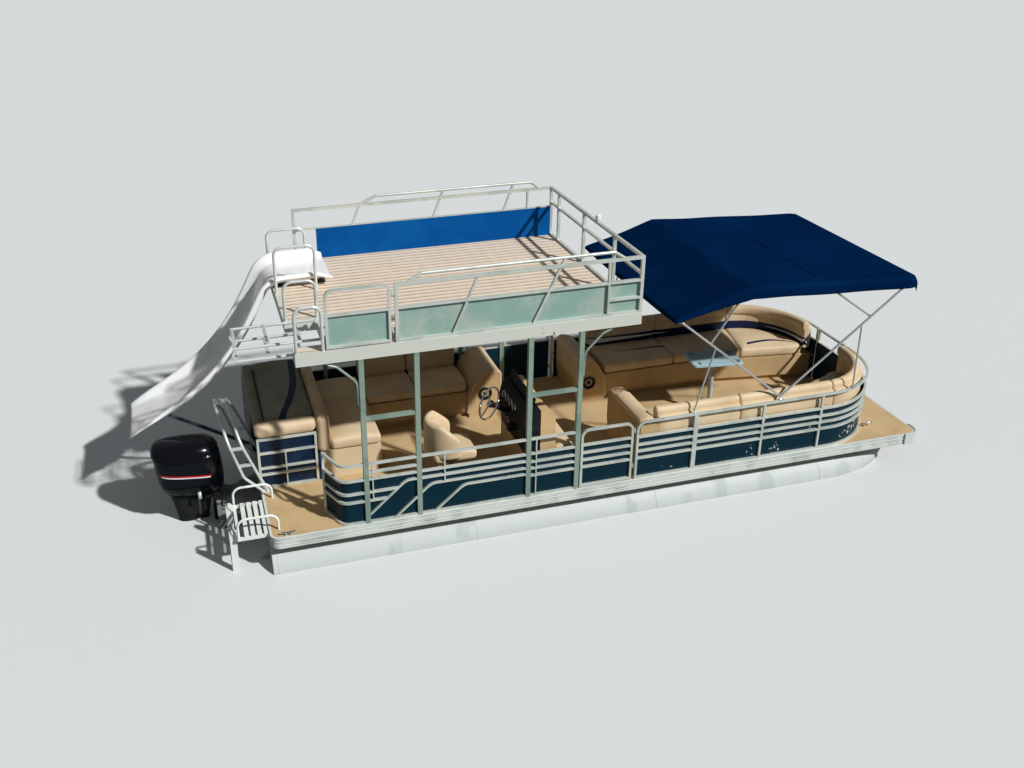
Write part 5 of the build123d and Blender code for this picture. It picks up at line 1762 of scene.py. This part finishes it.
@dataclass
class Studio:
    """The floor at the waterline, the lamps, the world and the camera.

    The floor and the world have one value for the eye and a dimmer one for the surfaces that
    they light. The camera's place, turn, lens and shift are those of the reference picture.
    """

    sun: Point = (0.75, -0.9, 1.0)
    energy: float = 4.2
    fill: float = 0.17
    backdrop: float = 0.85
    sky: Rgb = (0.93, 0.96, 1.0)
    floor_half: float = 60.0
    floor_seen: Rgb = (0.66, 0.68, 0.68)
    floor_lit: Rgb = (0.22, 0.26, 0.26)
    lens: float = 35.80
    shift: Pair = (0.0619, -0.0645)
    turn: Point = (0.41032, -0.01019, 0.26676)
    place: Point = (-4.23599, -9.80713, 6.44869)

    def build(self) -> None:
        """Makes the stage and the camera of the reference view."""
        scene = bpy.context.scene
        scene.view_settings.view_transform = "Standard"
        self.floor()
        self.light(scene)
        self.camera(scene)

    def floor(self) -> None:
        """A wide floor at the water's surface."""
        reach = self.floor_half
        mesh = bpy.data.meshes.new("floor")
        corners = [(-reach, -reach, 0), (reach, -reach, 0), (reach, reach, 0), (-reach, reach, 0)]
        mesh.from_pydata(corners, [], [(0, 1, 2, 3)])
        floor = bpy.data.objects.new("floor", mesh)
        material = bpy.data.materials.new("pale_floor")
        material.use_nodes = True
        shader = material.node_tree.nodes["Principled BSDF"].inputs
        graph = Graph(material.node_tree)
        seen = graph.add("LightPath").outputs["Is Camera Ray"]
        graph.feed(graph.mix(seen, self.floor_lit, self.floor_seen), shader["Base Color"])
        shader["Roughness"].default_value = 0.9
        mesh.materials.append(material)
        bpy.context.scene.collection.objects.link(floor)

    def light(self, scene: bpy.types.Scene) -> None:
        """A sun from the starboard bow, and an even sky.

        Args:
            scene: the scene that they light.
        """
        sun = bpy.data.lights.new("key", "SUN")
        sun.energy = self.energy
        sun.angle = math.radians(2)
        lamp = bpy.data.objects.new("key", sun)
        lamp.rotation_euler = Vector(self.sun).to_track_quat("Z", "Y").to_euler()
        scene.collection.objects.link(lamp)
        world = bpy.data.worlds.new("studio")
        world.use_nodes = True
        graph = Graph(world.node_tree)
        rays = graph.add("LightPath").outputs
        seen = graph.math("MAXIMUM", rays["Is Camera Ray"], rays["Is Transmission Ray"])
        back = world.node_tree.nodes["Background"].inputs
        back["Color"].default_value = (*self.sky, 1.0)
        graph.feed(graph.ramp(seen, 0.0, 1.0, self.fill, self.backdrop), back["Strength"])
        scene.world = world

    def camera(self, scene: bpy.types.Scene) -> None:
        """The camera, turned by pitch down, roll and heading.

        Args:
            scene: the scene that it is put in.
        """
        data = bpy.data.cameras.new("camera")
        data.lens = self.lens
        data.sensor_width = 36.0
        data.shift_x, data.shift_y = self.shift
        data.clip_end = 200
        camera = bpy.data.objects.new("camera", data)
        pitch, roll, heading = self.turn
        ahead = Vector(
            (math.sin(heading) * math.cos(pitch), math.cos(heading) * math.cos(pitch), -math.sin(pitch))
        )
        right = Vector((math.cos(heading), -math.sin(heading), 0.0))
        up = right.cross(ahead)
        level = right * math.cos(roll) + up * math.sin(roll)
        plumb = up * math.cos(roll) - right * math.sin(roll)
        turn = Matrix((level, plumb, -ahead)).transposed()
        camera.matrix_world = Matrix.Translation(Vector(self.place)) @ turn.to_4x4()
        scene.collection.objects.link(camera)
        scene.camera = camera


@dataclass
class Frame:
    """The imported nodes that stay, each with its finish."""

    slots: dict[str, str]
    own: tuple[tuple[str, str], ...] = (
        ("uprights", "post_aluminium"), ("upper_deck_frame", "beam_white"), ("sun_pad_base", "locker_navy"),
    )

    def build(self, nodes: dict[str, bpy.types.Object]) -> None:
        """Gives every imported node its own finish, or the finish of its slot.

        Args:
            nodes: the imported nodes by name.
        """
        looks = self.slots | dict(self.own)
        for name, node in nodes.items():
            node.data.materials.clear()
            node.data.materials.append(finish(looks[name]))


def main() -> None:
    """Builds the looks in order."""
    logging.basicConfig(level=logging.INFO, format="%(message)s")
    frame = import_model()
    slots = {part["node"]: part["material_slot"] for part in frame["record"]["subparts"]}
    Studio().build()
    Frame(slots).build(frame["nodes"])
    for part in (Floats(), Slide(), SunTop(), Couches(), Helm(), Engine(), Fittings()):
        part.build()


if __name__ == "__main__":
    main()
